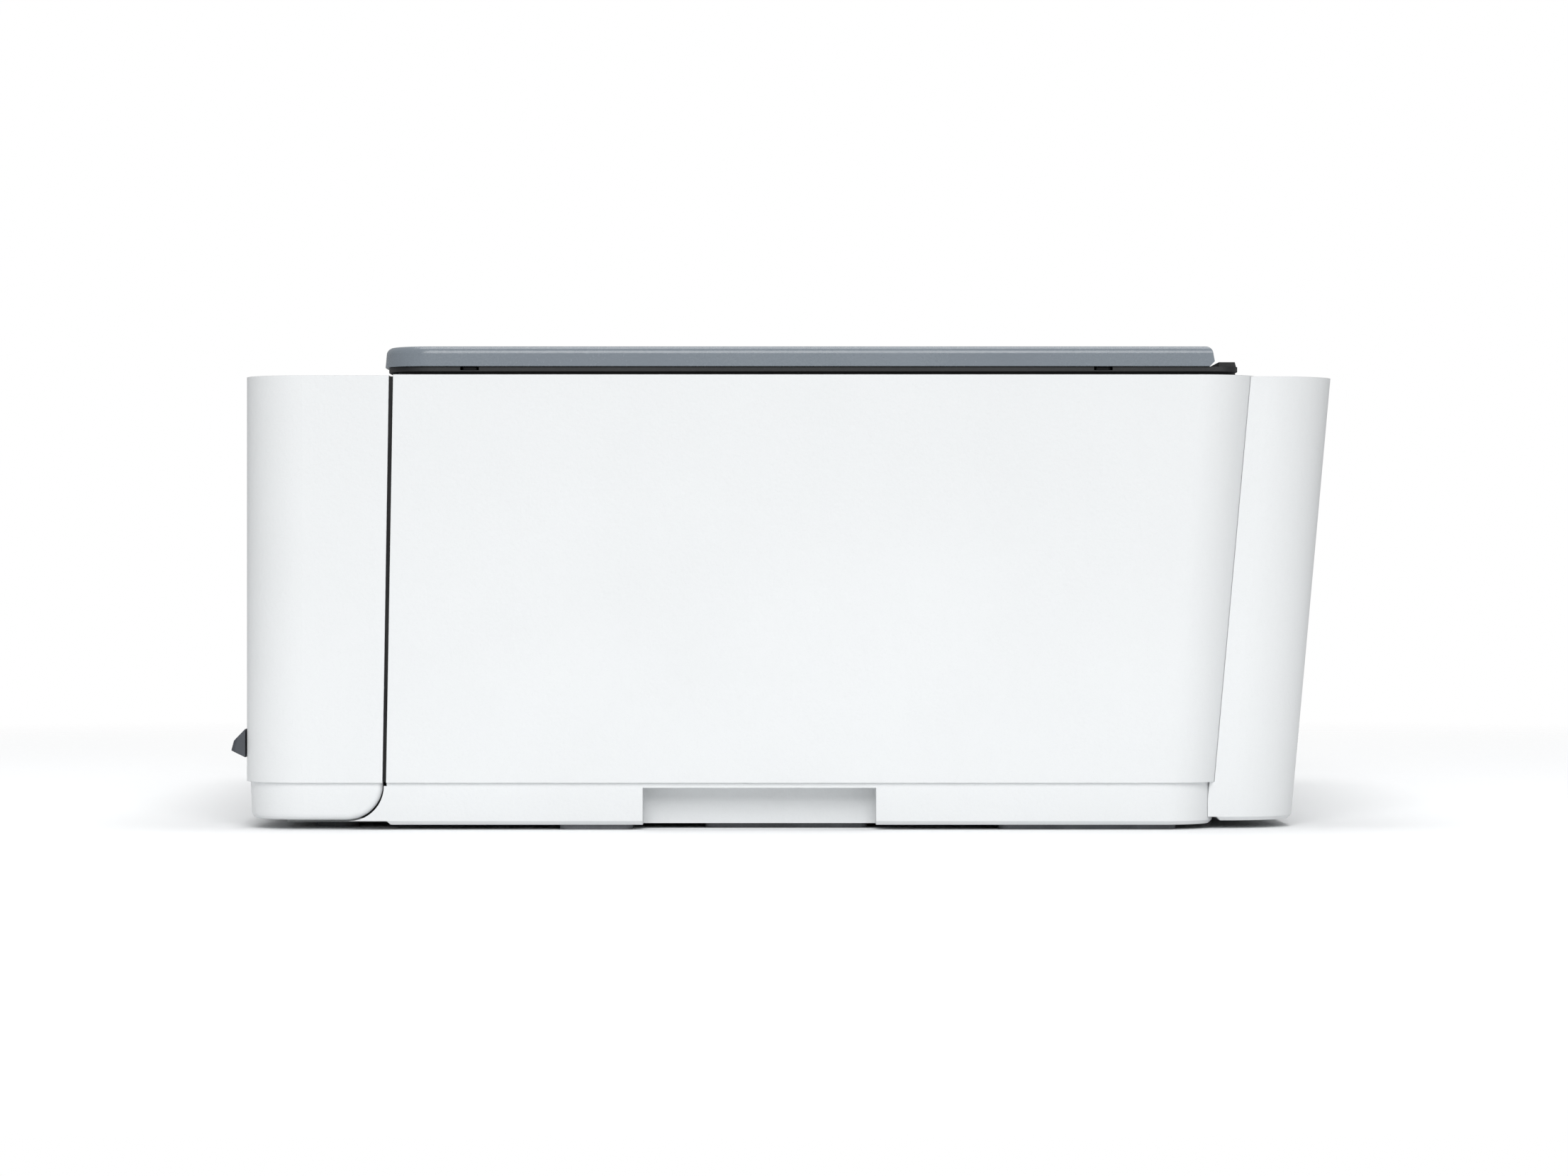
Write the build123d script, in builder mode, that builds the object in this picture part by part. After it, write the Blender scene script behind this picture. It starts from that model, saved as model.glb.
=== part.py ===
from build123d import *
from math import atan2, cos, degrees, radians, sin, tan
import os

# Ink-tank all-in-one inkjet printer.
# Millimetres, +Z up, front towards -Y, origin at the middle of the footprint on the table.

# ---------------------------------------------------------------- driving dimensions
WIDTH = 434.7
DEPTH = 362.0
HEIGHT = 157.0
HALF = WIDTH / 2
WALL = 2.5

FRONT_Y = -176.0            # front face of the front bezel
BAND_TOP = 15.25            # top of the stepped-in lower band
BAND_STEP = 1.2             # how far the lower band steps in
HOUSING_TOP = 147.8
BEZEL_TOP = 147.5
LEAN = tan(radians(5.15))   # lean of the rear faces

# front bezel openings
PAPER_X0, PAPER_X1 = -196.0, 100.0      # output slot and front door, left and right ends
SLOT_Z0, SLOT_Z1 = 19.5, 50.0
DOOR_Z0, DOOR_Z1 = 54.0, 124.0
DOOR_AXIS = (-174.4, 56.0)              # y, z of the front door's hinge line
WINDOW_X0, WINDOW_X1 = 108.0, 194.0
WINDOW_Z0, WINDOW_Z1 = 40.0, 118.0
FASCIA = (-188.0, 84.0, -170.0, -134.0)  # x0, x1, y0, y1 of the control fascia
TANK_LID = (98.0, 208.0, -169.0, -130.6)  # x0, x1, y0, y1 of the ink tank lid's opening
TANK_LID_AXIS = (-134.2, 145.6)

# scanner
GLASS = (-180.0, 120.0, -110.0, 110.0)  # x0, x1, y0, y1 of the scan window
LID_BOTTOM = 150.5
BEZEL_PLATE_TOP = 150.4
LID_AXIS = (138.2, 152.8)               # y, z of the scanner lid's hinge line
HINGE_X = 150.0

# paper path: y, z of every cross shaft
FEED = (90.0, 52.0)
EXIT = (-4.0, 52.0)
PINCH = (90.0, 62.8)
STAR = (-4.0, 65.4)
PICK = (90.0 + (51.0 ** 2 - 20.0 ** 2) ** 0.5, 72.0)
FEED_R, EXIT_R, PINCH_R, STAR_R, PICK_R = 7.0, 7.1, 3.5, 6.0, 14.0
GEAR_X0, GEAR_X1 = -180.0, -175.0

# print carriage
CARRIAGE_X = 150.0
CARRIAGE_W = 70.0
ROD = (72.0, 74.0)
ROD_R = 4.0

os.makedirs("parts", exist_ok=True)


# ---------------------------------------------------------------- helpers
def block(x0, x1, y0, y1, z0, z1, mode=Mode.ADD):
    """Box between two opposite corners."""
    with Locations(((x0 + x1) / 2, (y0 + y1) / 2, (z0 + z1) / 2)):
        Box(x1 - x0, y1 - y0, z1 - z0, mode=mode)


def rod(x0, x1, centre, radius, mode=Mode.ADD):
    """Round bar along X; centre is (y, z)."""
    with BuildSketch(Plane.YZ.offset(x0)) as profile:
        with Locations(centre):
            Circle(radius)
    extrude(profile.sketch, amount=x1 - x0, mode=mode)


def post(x, y, z0, z1, radius, mode=Mode.ADD):
    """Upright round bar."""
    with BuildSketch(Plane.XY.offset(z0)) as profile:
        with Locations((x, y)):
            Circle(radius)
    extrude(profile.sketch, amount=z1 - z0, mode=mode)


def slab(points, x0, x1, mode=Mode.ADD):
    """Side profile given as (y, z) points, run along X from x0 to x1."""
    with BuildSketch(Plane.YZ.offset(x0)) as profile:
        with BuildLine():
            Polyline(*points, close=True)
        make_face()
    extrude(profile.sketch, amount=x1 - x0, mode=mode)


def spindle(x, z, y0, y1, radius, mode=Mode.ADD):
    """Round bar along Y."""
    with BuildSketch(Plane.XZ.offset(-y1)) as profile:
        with Locations((x, z)):
            Circle(radius)
    extrude(profile.sketch, amount=y1 - y0, mode=mode)


def front_plate(x0, x1, z0, z1, y0, y1, radius, mode=Mode.ADD):
    """Upright plate that faces the front, with rounded corners."""
    with BuildSketch(Plane.XZ.offset(-y1)) as profile:
        with Locations(((x0 + x1) / 2, (z0 + z1) / 2)):
            RectangleRounded(x1 - x0, z1 - z0, radius)
    extrude(profile.sketch, amount=y1 - y0, mode=mode)


def plate(x0, x1, y0, y1, z0, z1, radius, mode=Mode.ADD):
    """Flat plate with rounded plan corners."""
    with BuildSketch(Plane.XY.offset(z0)) as profile:
        with Locations(((x0 + x1) / 2, (y0 + y1) / 2)):
            RectangleRounded(x1 - x0, y1 - y0, radius)
    extrude(profile.sketch, amount=z1 - z0, mode=mode)


def end_edges(part, rearmost):
    """The two upright edges of a cross-run solid at its front or rear end."""
    ends = [part.edges().group_by(Axis.X)[0], part.edges().group_by(Axis.X)[-1]]
    index = -1 if rearmost else 0
    return [edges.sort_by(Axis.Y)[index] for edges in ends]


def gear_outline(teeth, centre, phase):
    """Involute-like gear of module 1 as one polygon; phase is a tooth's angle in degrees."""
    pitch = teeth / 2
    points = []
    for tooth in range(teeth):
        middle = phase + 360 * tooth / teeth
        for radius, share in ((pitch - 1.15, -0.31), (pitch + 0.75, -0.11),
                              (pitch + 0.75, 0.11), (pitch - 1.15, 0.31)):
            angle = radians(middle + share * 360 / teeth)
            points.append((centre[0] + radius * cos(angle), centre[1] + radius * sin(angle)))
    return points


def mesh_phase(phase, teeth, mate_teeth, direction):
    """Tooth angle of a mating gear that lies in the given direction, in degrees."""
    return direction + 180 + 180 / mate_teeth - (phase - direction) * teeth / mate_teeth


def gear(teeth, centre, phase, bore):
    """Gear disc in the gear plane, with a bore for its shaft."""
    slab(gear_outline(teeth, centre, phase), GEAR_X0, GEAR_X1)
    if bore:
        rod(GEAR_X0, GEAR_X1, centre, bore, mode=Mode.SUBTRACT)


def save(builder, name):
    """Label a finished piece and write its STEP."""
    builder.part.label = name
    export_step(builder.part, f"parts/{name}.step")


def rear_wall_y(z):
    """Outer rear face of the main housing at height z."""
    return 154.5 - (HOUSING_TOP - z) * LEAN


def hopper_y(z, depth):
    """Place inside the rear hopper: depth behind its front face, at height z."""
    return 154.6 - (HOUSING_TOP - z) * LEAN + depth


def leaning(depth0, depth1, z0, z1):
    """Side profile of a layer in the rear hopper, following its lean."""
    return [(hopper_y(z0, depth0), z0), (hopper_y(z1, depth0), z1),
            (hopper_y(z1, depth1), z1), (hopper_y(z0, depth1), z0)]


# ---------------------------------------------------------------- base pan
PAN_HALF = HALF - BAND_STEP
PAN_Y0, PAN_Y1 = -128.7, 140.6
PAN_Z0 = 1.6
GRIP_Y0, GRIP_Y1 = -45.6, 30.2
GRIP_DEPTH = 12.0
ARC_R = 11.0                             # rounded foot of the front bezel's lower band
FOOT_Y, FOOT_Z = -130.0 - ARC_R, 3.2 + ARC_R

with BuildPart() as base_pan:
    plate(-PAN_HALF, PAN_HALF, PAN_Y0, PAN_Y1, PAN_Z0, BAND_TOP, 17.0)
    block(-PAN_HALF, PAN_HALF, PAN_Y0, PAN_Y0 + 30, PAN_Z0, BAND_TOP)
    chamfer(base_pan.faces().sort_by(Axis.Z)[0].edges(), 1.2)
    plate(-PAN_HALF + 3, PAN_HALF - 3, PAN_Y0 + 3, PAN_Y1 - 3, PAN_Z0 + 2.4, BAND_TOP, 14.0,
          mode=Mode.SUBTRACT)
    for side in (-1, 1):
        outer = side * (PAN_HALF + 1)
        inner = side * (PAN_HALF - GRIP_DEPTH)
        wall = side * (PAN_HALF - GRIP_DEPTH - 2.4)
        block(min(inner, outer), max(inner, outer), GRIP_Y0, GRIP_Y1, 0, BAND_TOP,
              mode=Mode.SUBTRACT)
        block(min(inner, wall), max(inner, wall), GRIP_Y0 - 2.4, GRIP_Y1 + 2.4, PAN_Z0, BAND_TOP)
        for y in (GRIP_Y0 - 2.4, GRIP_Y1):
            block(min(inner, side * PAN_HALF), max(inner, side * PAN_HALF), y, y + 2.4, PAN_Z0 + 1.2,
                  BAND_TOP)
        block(min(wall, side * PAN_HALF), max(wall, side * PAN_HALF), GRIP_Y0, GRIP_Y1, 13.6,
              BAND_TOP)
    # toe that fills the corner behind the bezel's rounded foot
    for side in (-1, 1):
        block(min(side * (PAN_HALF - WALL), side * PAN_HALF), max(side * (PAN_HALF - WALL), side * PAN_HALF),
              FOOT_Y, PAN_Y0 + 1, PAN_Z0 + 1.2, FOOT_Z)
    rod(-PAN_HALF, PAN_HALF, (FOOT_Y, FOOT_Z), ARC_R + 0.4, mode=Mode.SUBTRACT)
    # tongue that runs forward under the front bezel
    block(-196, 196, -163, PAN_Y0 + 3, PAN_Z0, 3.0)
    # rails that carry the output tray
    for x, inward in ((PAPER_X0, 1), (PAPER_X1, -1)):
        block(min(x - inward * 2, x), max(x - inward * 2, x), -120, -16, PAN_Z0 + 1, 31)
        block(min(x, x + inward * 8), max(x, x + inward * 8), -120, -16, 20.5, 23.7)
    # ribs and screw posts
    for x in (-120, -40, 40):
        block(x, x + 2, PAN_Y0 + 3, PAN_Y1 - 3, PAN_Z0 + 2.4, PAN_Z0 + 6)
    for x in (-198, 198):
        for y in (-110, 120):
            post(x, y, PAN_Z0 + 2.4, BAND_TOP, 4.0)
            post(x, y, 8.0, BAND_TOP, 1.4, mode=Mode.SUBTRACT)
save(base_pan, "base_pan")

with BuildPart() as rubber_feet:
    for side in (-1, 1):
        for y0, y1, x_near, x_far in ((-72.7, -49.0, 200, 213), (-25.5, 27.6, 188, 200),
                                      (70.4, 128.0, 198, 211)):
            plate(min(side * x_near, side * x_far), max(side * x_near, side * x_far), y0, y1, 0,
                  PAN_Z0, 3.0)
        post(side * 188, -147, 0, PAN_Z0, 7.0)
save(rubber_feet, "rubber_feet")

# ---------------------------------------------------------------- main housing
with BuildPart() as main_housing:
    slab([(-128.8, BAND_TOP), (-126.5, HOUSING_TOP), (rear_wall_y(HOUSING_TOP), HOUSING_TOP),
          (rear_wall_y(BAND_TOP), BAND_TOP)], -HALF, HALF)
    fillet(end_edges(main_housing, rearmost=True), 18.0)
    with BuildPart(mode=Mode.PRIVATE) as hollow:
        slab([(-140, BAND_TOP - 5), (-140, HOUSING_TOP + 5),
              (rear_wall_y(HOUSING_TOP + 5) - WALL, HOUSING_TOP + 5),
              (rear_wall_y(BAND_TOP - 5) - WALL, BAND_TOP - 5)], -HALF + WALL, HALF - WALL)
        fillet(end_edges(hollow, rearmost=True), 15.5)
    add(hollow.part, mode=Mode.SUBTRACT)
    # window for the pick roller and the paper
    block(-118, 118, 135, 160, 44, 90, mode=Mode.SUBTRACT)
    # window for wiring to the rear bay
    block(122, 196, 130, 150, 18, 40, mode=Mode.SUBTRACT)
    # stiffening ribs inside the side panels, and the tongues behind the bezel's seam
    for side in (-1, 1):
        block(min(side * 212.2, side * 214.9), max(side * 212.2, side * 214.9), -125, -118, 18, 143)
        block(min(side * 212.2, side * 214.7), max(side * 212.2, side * 214.7), -137, -125, 18, 143)
        for y in (-90, -30, 30, 90):
            block(min(side * 212.5, side * 215), max(side * 212.5, side * 215), y, y + 1.6, 20, 118)
save(main_housing, "main_housing")

# ---------------------------------------------------------------- front bezel
with BuildPart() as front_bezel:
    slab([(FRONT_Y, BAND_TOP), (FRONT_Y, BEZEL_TOP), (-127.9, BEZEL_TOP), (-130.0, BAND_TOP)],
         -HALF, HALF)
    fillet(end_edges(front_bezel, rearmost=False), 20.0)
    with BuildPart(mode=Mode.PRIVATE) as band:
        with BuildSketch(Plane.YZ.offset(-PAN_HALF)):
            with BuildLine():
                Polyline((-130, FOOT_Z), (-130, BAND_TOP + 1), (-174.8, BAND_TOP + 1), (-174.2, 3.2),
                         (FOOT_Y - 1, 3.2))
                ThreePointArc((FOOT_Y - 1, 3.2), (-130 - 0.31 * ARC_R, 3.2 + 0.31 * ARC_R), (-130, FOOT_Z))
            make_face()
        extrude(amount=2 * PAN_HALF)
        fillet(end_edges(band, rearmost=False), 18.8)
        fillet(band.faces().sort_by(Axis.Z)[0].edges().group_by(Axis.Y)[:-1], 2.0)
    add(band.part)
    with BuildPart(mode=Mode.PRIVATE) as upper_hollow:
        slab([(FRONT_Y + WALL, 17), (FRONT_Y + WALL, BEZEL_TOP - WALL), (-115, BEZEL_TOP - WALL),
              (-115, 17)], -HALF + WALL, HALF - WALL)
        fillet(end_edges(upper_hollow, rearmost=False), 17.5)
    add(upper_hollow.part, mode=Mode.SUBTRACT)
    with BuildPart(mode=Mode.PRIVATE) as lower_hollow:
        slab([(-171.8, 5.4), (-171.8, 17), (-115, 17), (-115, 5.4)], -PAN_HALF + WALL,
             PAN_HALF - WALL)
        fillet(end_edges(lower_hollow, rearmost=False), 16.3)
    add(lower_hollow.part, mode=Mode.SUBTRACT)
    # openings in the front wall
    front_plate(PAPER_X0, PAPER_X1, SLOT_Z0, SLOT_Z1, FRONT_Y - 1, FRONT_Y + 5, 3.0,
                mode=Mode.SUBTRACT)
    block(PAPER_X0, PAPER_X1, FRONT_Y - 1, FRONT_Y + 5, DOOR_Z0, DOOR_Z1, mode=Mode.SUBTRACT)
    front_plate(WINDOW_X0, WINDOW_X1, WINDOW_Z0, WINDOW_Z1, FRONT_Y - 1, FRONT_Y + 5, 4.3,
                mode=Mode.SUBTRACT)
    for x0, x1 in ((PAPER_X0 - 2.4, PAPER_X0), (PAPER_X1, PAPER_X1 + 2.4)):
        rod(x0, x1, DOOR_AXIS, 0.85, mode=Mode.SUBTRACT)
    # top strip: seat for the fascia, opening and hinge bosses for the ink tank lid
    x0, x1, y0, y1 = FASCIA
    plate(x0, x1, y0, y1, BEZEL_TOP - 1.5, BEZEL_TOP + 1, 4.4, mode=Mode.SUBTRACT)
    plate(x0 + 3, x1 - 3, y0 + 3, y1 - 3, BEZEL_TOP - 4, BEZEL_TOP + 1, 3.0, mode=Mode.SUBTRACT)
    x0, x1, y0, y1 = TANK_LID
    plate(x0, x1, y0, y1, BEZEL_TOP - 4, BEZEL_TOP + 1, 3.4, mode=Mode.SUBTRACT)
    for a, b in ((x0 - 4, x0 - 0.1), (x1 + 0.1, x1 + 4)):
        block(a, b, -138, -129.5, BEZEL_TOP - 5, BEZEL_TOP - 1)
    rod(x0 - 3, x0 + 2, TANK_LID_AXIS, 1.06, mode=Mode.SUBTRACT)
    rod(x1 - 2, x1 + 3, TANK_LID_AXIS, 1.06, mode=Mode.SUBTRACT)
save(front_bezel, "front_bezel")

with BuildPart() as front_door:
    x0, x1 = PAPER_X0 + 0.4, PAPER_X1 - 0.4
    block(x0, x1, FRONT_Y, FRONT_Y + 3.2, DOOR_AXIS[1], DOOR_Z1 - 0.4)
    rod(x0, x1, DOOR_AXIS, 1.6)
    rod(x0 - 2, x1 + 2, DOOR_AXIS, 0.8)
    front_plate(-78, -18, DOOR_Z1 - 6, DOOR_Z1 + 6, FRONT_Y - 1, FRONT_Y + 1.6, 2.5,
                mode=Mode.SUBTRACT)
    for x in range(-180, 100, 45):
        block(x, x + 1.4, FRONT_Y + 3.2, FRONT_Y + 5, 62, 116)
    fillet(front_door.edges().filter_by(Axis.Z).group_by(Axis.Y)[0], 0.5)
save(front_door, "front_door")

with BuildPart() as ink_window:
    front_plate(WINDOW_X0 + 0.3, WINDOW_X1 - 0.3, WINDOW_Z0 + 0.3, WINDOW_Z1 - 0.3, FRONT_Y,
                FRONT_Y + WALL, 4.0)
    front_plate(WINDOW_X0 - 3, WINDOW_X1 + 3, WINDOW_Z0 - 3, WINDOW_Z1 + 3, FRONT_Y + WALL,
                FRONT_Y + WALL + 1.6, 3.0)
save(ink_window, "ink_window")

# ---------------------------------------------------------------- ink tanks
TANK_PITCH = 23.0
TANK_XS = [(WINDOW_X0 + WINDOW_X1) / 2 + TANK_PITCH * (i - 1.5) for i in range(4)]
NECK_Y = -150.0
TANK_TOP = 120.0
TANK_Z0 = BAND_TOP + 0.05
with BuildPart() as ink_tanks:
    for x in TANK_XS:
        plate(x - 11, x + 11, -170, -108, TANK_Z0, TANK_TOP, 3.0)
        post(x, NECK_Y, TANK_TOP, TANK_TOP + 7, 7.5)
        plate(x - 9.5, x + 9.5, -168.5, -109.5, TANK_Z0 + 1.5, TANK_TOP - 1.5, 2.0,
              mode=Mode.SUBTRACT)
        post(x, NECK_Y, TANK_TOP - 2, TANK_TOP + 7, 5.5, mode=Mode.SUBTRACT)
save(ink_tanks, "ink_tanks")

with BuildPart() as tank_caps:
    for x in TANK_XS:
        post(x, NECK_Y, TANK_TOP + 2, TANK_TOP + 16, 10.0)
        post(x, NECK_Y, TANK_TOP + 1, TANK_TOP + 13, 7.6, mode=Mode.SUBTRACT)
        block(x - 4, x + 4, NECK_Y - 14, NECK_Y - 8, TANK_TOP + 13, TANK_TOP + 16)
save(tank_caps, "tank_caps")

with BuildPart() as ink_tank_lid:
    x0, x1, y0, y1 = TANK_LID
    plate(x0 + 0.5, x1 - 0.5, y0 + 0.5, y1 - 1.8, BEZEL_TOP - 2.5, BEZEL_TOP, 3.0)
    plate(142, 164, y0 + 0.5, y0 + 4, BEZEL_TOP - 1, BEZEL_TOP + 0.8, 1.2)
    rod(x0 - 2.3, x0 + 3, TANK_LID_AXIS, 1.0)
    rod(x1 - 3, x1 + 2.3, TANK_LID_AXIS, 1.0)
save(ink_tank_lid, "ink_tank_lid")

# ---------------------------------------------------------------- control panel
BUTTON_Y = -152.0
BUTTONS = {"power_button": (-171.0, 6.0), "wireless_button": (-76.0, 5.5), "info_button": (-52.0, 5.5),
           "cancel_button": (-28.0, 5.5), "copy_black_button": (12.0, 7.0),
           "copy_color_button": (44.0, 7.0)}
DISPLAY = (-150.0, -98.0, -165.0, -139.0)

with BuildPart() as control_fascia:
    x0, x1, y0, y1 = FASCIA
    plate(x0 + 0.4, x1 - 0.4, y0 + 0.4, y1 - 0.4, BEZEL_TOP - 1.5, BEZEL_TOP + 0.1, 4.0)
    x0, x1, y0, y1 = DISPLAY
    plate(x0, x1, y0, y1, BEZEL_TOP - 0.8, BEZEL_TOP + 1, 2.0, mode=Mode.SUBTRACT)
    for x, radius in BUTTONS.values():
        post(x, BUTTON_Y, BEZEL_TOP - 3, BEZEL_TOP + 1, radius + 0.3, mode=Mode.SUBTRACT)
save(control_fascia, "control_fascia")

with BuildPart() as display_window:
    x0, x1, y0, y1 = DISPLAY
    plate(x0 + 0.2, x1 - 0.2, y0 + 0.2, y1 - 0.2, BEZEL_TOP - 0.8, BEZEL_TOP + 0.2, 1.8)
save(display_window, "display_window")

for name, (x, radius) in BUTTONS.items():
    with BuildPart() as button:
        post(x, BUTTON_Y, BEZEL_TOP - 4, BEZEL_TOP + 0.9, radius)
        fillet(button.edges().group_by(Axis.Z)[-1], 0.6)
        post(x, BUTTON_Y, BEZEL_TOP - 4, BEZEL_TOP - 2.4, radius + 1.2)
    save(button, name)

# ---------------------------------------------------------------- scanner
GX0, GX1, GY0, GY1 = GLASS
TUB = (-205.0, 205.0, -124.0, 132.0, 122.0, 147.7)
STOP_YS, STOP_LENGTH = (-101.8, 104.0), 6.0   # rubber stops under the lid
RAIL_HALF = 210.0
SCAN_ROD = (0.0, 131.0)
BAR_X = -170.0

with BuildPart() as scanner_tub:
    x0, x1, y0, y1, z0, z1 = TUB
    plate(x0, x1, y0, y1, z0, z1, 8.0)
    plate(x0 + 2.4, x1 - 2.4, y0 + 2.4, y1 - 2.4, z0 + 2.4, z1, 5.6, mode=Mode.SUBTRACT)
    for a, b in ((x0 + 2.4, x0 + 9), (x1 - 9, x1 - 2.4)):
        block(a, b, -8, 8, z0 + 2.4, 137)
    rod(x0 + 5, x1 - 5, SCAN_ROD, 3.02, mode=Mode.SUBTRACT)
save(scanner_tub, "scanner_tub")

with BuildPart() as scan_rod:
    rod(TUB[0] + 5.1, TUB[1] - 5.1, SCAN_ROD, 3.0)
save(scan_rod, "scan_rod")

with BuildPart() as scan_bar:
    block(BAR_X - 9, BAR_X + 9, GY0 + 2, GY1 - 2, 136, 146.3)
    block(BAR_X - 8, BAR_X + 8, -14, 14, 126.5, 136)
    rod(BAR_X - 10, BAR_X + 10, SCAN_ROD, 3.06, mode=Mode.SUBTRACT)
    block(BAR_X - 1.5, BAR_X + 1.5, GY0 + 6, GY1 - 6, 145.6, 147, mode=Mode.SUBTRACT)
save(scan_bar, "scan_bar")

with BuildPart() as scanner_bezel:
    for half, y0, y1, z0, z1, corner in ((213, -126, 147.6, HOUSING_TOP, HOUSING_TOP + 1.0, 12.0),
                                         (216, -129, 148, HOUSING_TOP + 1.0, BEZEL_PLATE_TOP, 14.0)):
        plate(-half, half, y0, y1 - 20, z0, z1, corner)
        plate(-half, half, 0, y1, z0, z1, 6.0)
    # notches over the lid's rubber stops
    for side in (-1, 1):
        for y in STOP_YS:
            block(min(side * 209, side * 217), max(side * 209, side * 217), y - STOP_LENGTH / 2,
                  y + STOP_LENGTH / 2, HOUSING_TOP + 1.4, BEZEL_PLATE_TOP + 1, mode=Mode.SUBTRACT)
    plate(GX0, GX1, GY0, GY1, HOUSING_TOP - 1, BEZEL_PLATE_TOP + 1, 2.0, mode=Mode.SUBTRACT)
    plate(GX0 - 3.2, GX1 + 3.2, GY0 - 3.2, GY1 + 3.2, HOUSING_TOP - 1, HOUSING_TOP + 1.8, 3.2,
          mode=Mode.SUBTRACT)
    # raised rail behind the lid, with the two hinge knuckles
    slab([(141.7, BEZEL_PLATE_TOP - 1), (142.0, 152.1), (147.2, 152.1), (147.9, BEZEL_PLATE_TOP - 1)],
         -RAIL_HALF, RAIL_HALF)
    for side in (-1, 1):
        x = side * HINGE_X
        block(x - 11, x + 11, 136.6, 143, BEZEL_PLATE_TOP, 152.0)
        rod(x - 11, x + 11, LID_AXIS, 2.2)
        rod(x - 12, x + 12, LID_AXIS, 1.02, mode=Mode.SUBTRACT)
save(scanner_bezel, "scanner_bezel")

with BuildPart() as scanner_glass:
    plate(GX0 - 3, GX1 + 3, GY0 - 3, GY1 + 3, 146.8, HOUSING_TOP + 1.8, 3.0)
save(scanner_glass, "scanner_glass")

with BuildPart() as lid_hinges:
    for side in (-1, 1):
        rod(side * HINGE_X - 14.5, side * HINGE_X + 14.5, LID_AXIS, 1.0)
save(lid_hinges, "lid_hinges")

LID_HALF = HALF - 0.6
with BuildPart() as scanner_lid:
    slab([(-130.2, LID_BOTTOM), (-129.6, HEIGHT), (139.2, HEIGHT), (140.1, LID_BOTTOM + 1.6),
          (138.6, LID_BOTTOM)], -LID_HALF, LID_HALF)
    lid_ends = [scanner_lid.edges().group_by(Axis.X)[i] for i in (0, -1)]
    corners = [ends.sort_by(Axis.Y)[0] for ends in lid_ends]
    fillet(corners, 15.0)
    fillet(scanner_lid.faces().sort_by(Axis.Z)[-1].edges(), 2.4)
    plate(-206, 206, -120, 128, LID_BOTTOM - 1, 154.8, 6.0, mode=Mode.SUBTRACT)
    for side in (-1, 1):
        x = side * HINGE_X
        block(x - 12.5, x + 12.5, 135.4, 142, LID_BOTTOM - 1, HEIGHT + 1, mode=Mode.SUBTRACT)
        rod(x - 15.5, x + 15.5, LID_AXIS, 1.06, mode=Mode.SUBTRACT)
save(scanner_lid, "scanner_lid")

with BuildPart() as lid_backing:
    plate(GX0 - 14, GX1 + 14, -118, 118, LID_BOTTOM + 0.1, 154.7, 5.0)
    plate(GX0 + 2, GX1 - 2, GY0 + 2, GY1 - 2, 149.9, LID_BOTTOM + 0.1, 2.0)
save(lid_backing, "lid_backing")

# ---------------------------------------------------------------- rear hopper
HOPPER_HALF = HALF - 10.0
HOPPER_TOP = 147.6
FLANK_X = HOPPER_HALF - WALL
HOPPER_DEEP = DEPTH / 2 - hopper_y(HOPPER_TOP, 0)
ROOM0, ROOM1 = 2.0, HOPPER_DEEP - WALL      # hollow's depth range
INLET_X, USB_X = 164.0, 118.5
SOCKET_Z = 27.0

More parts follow.
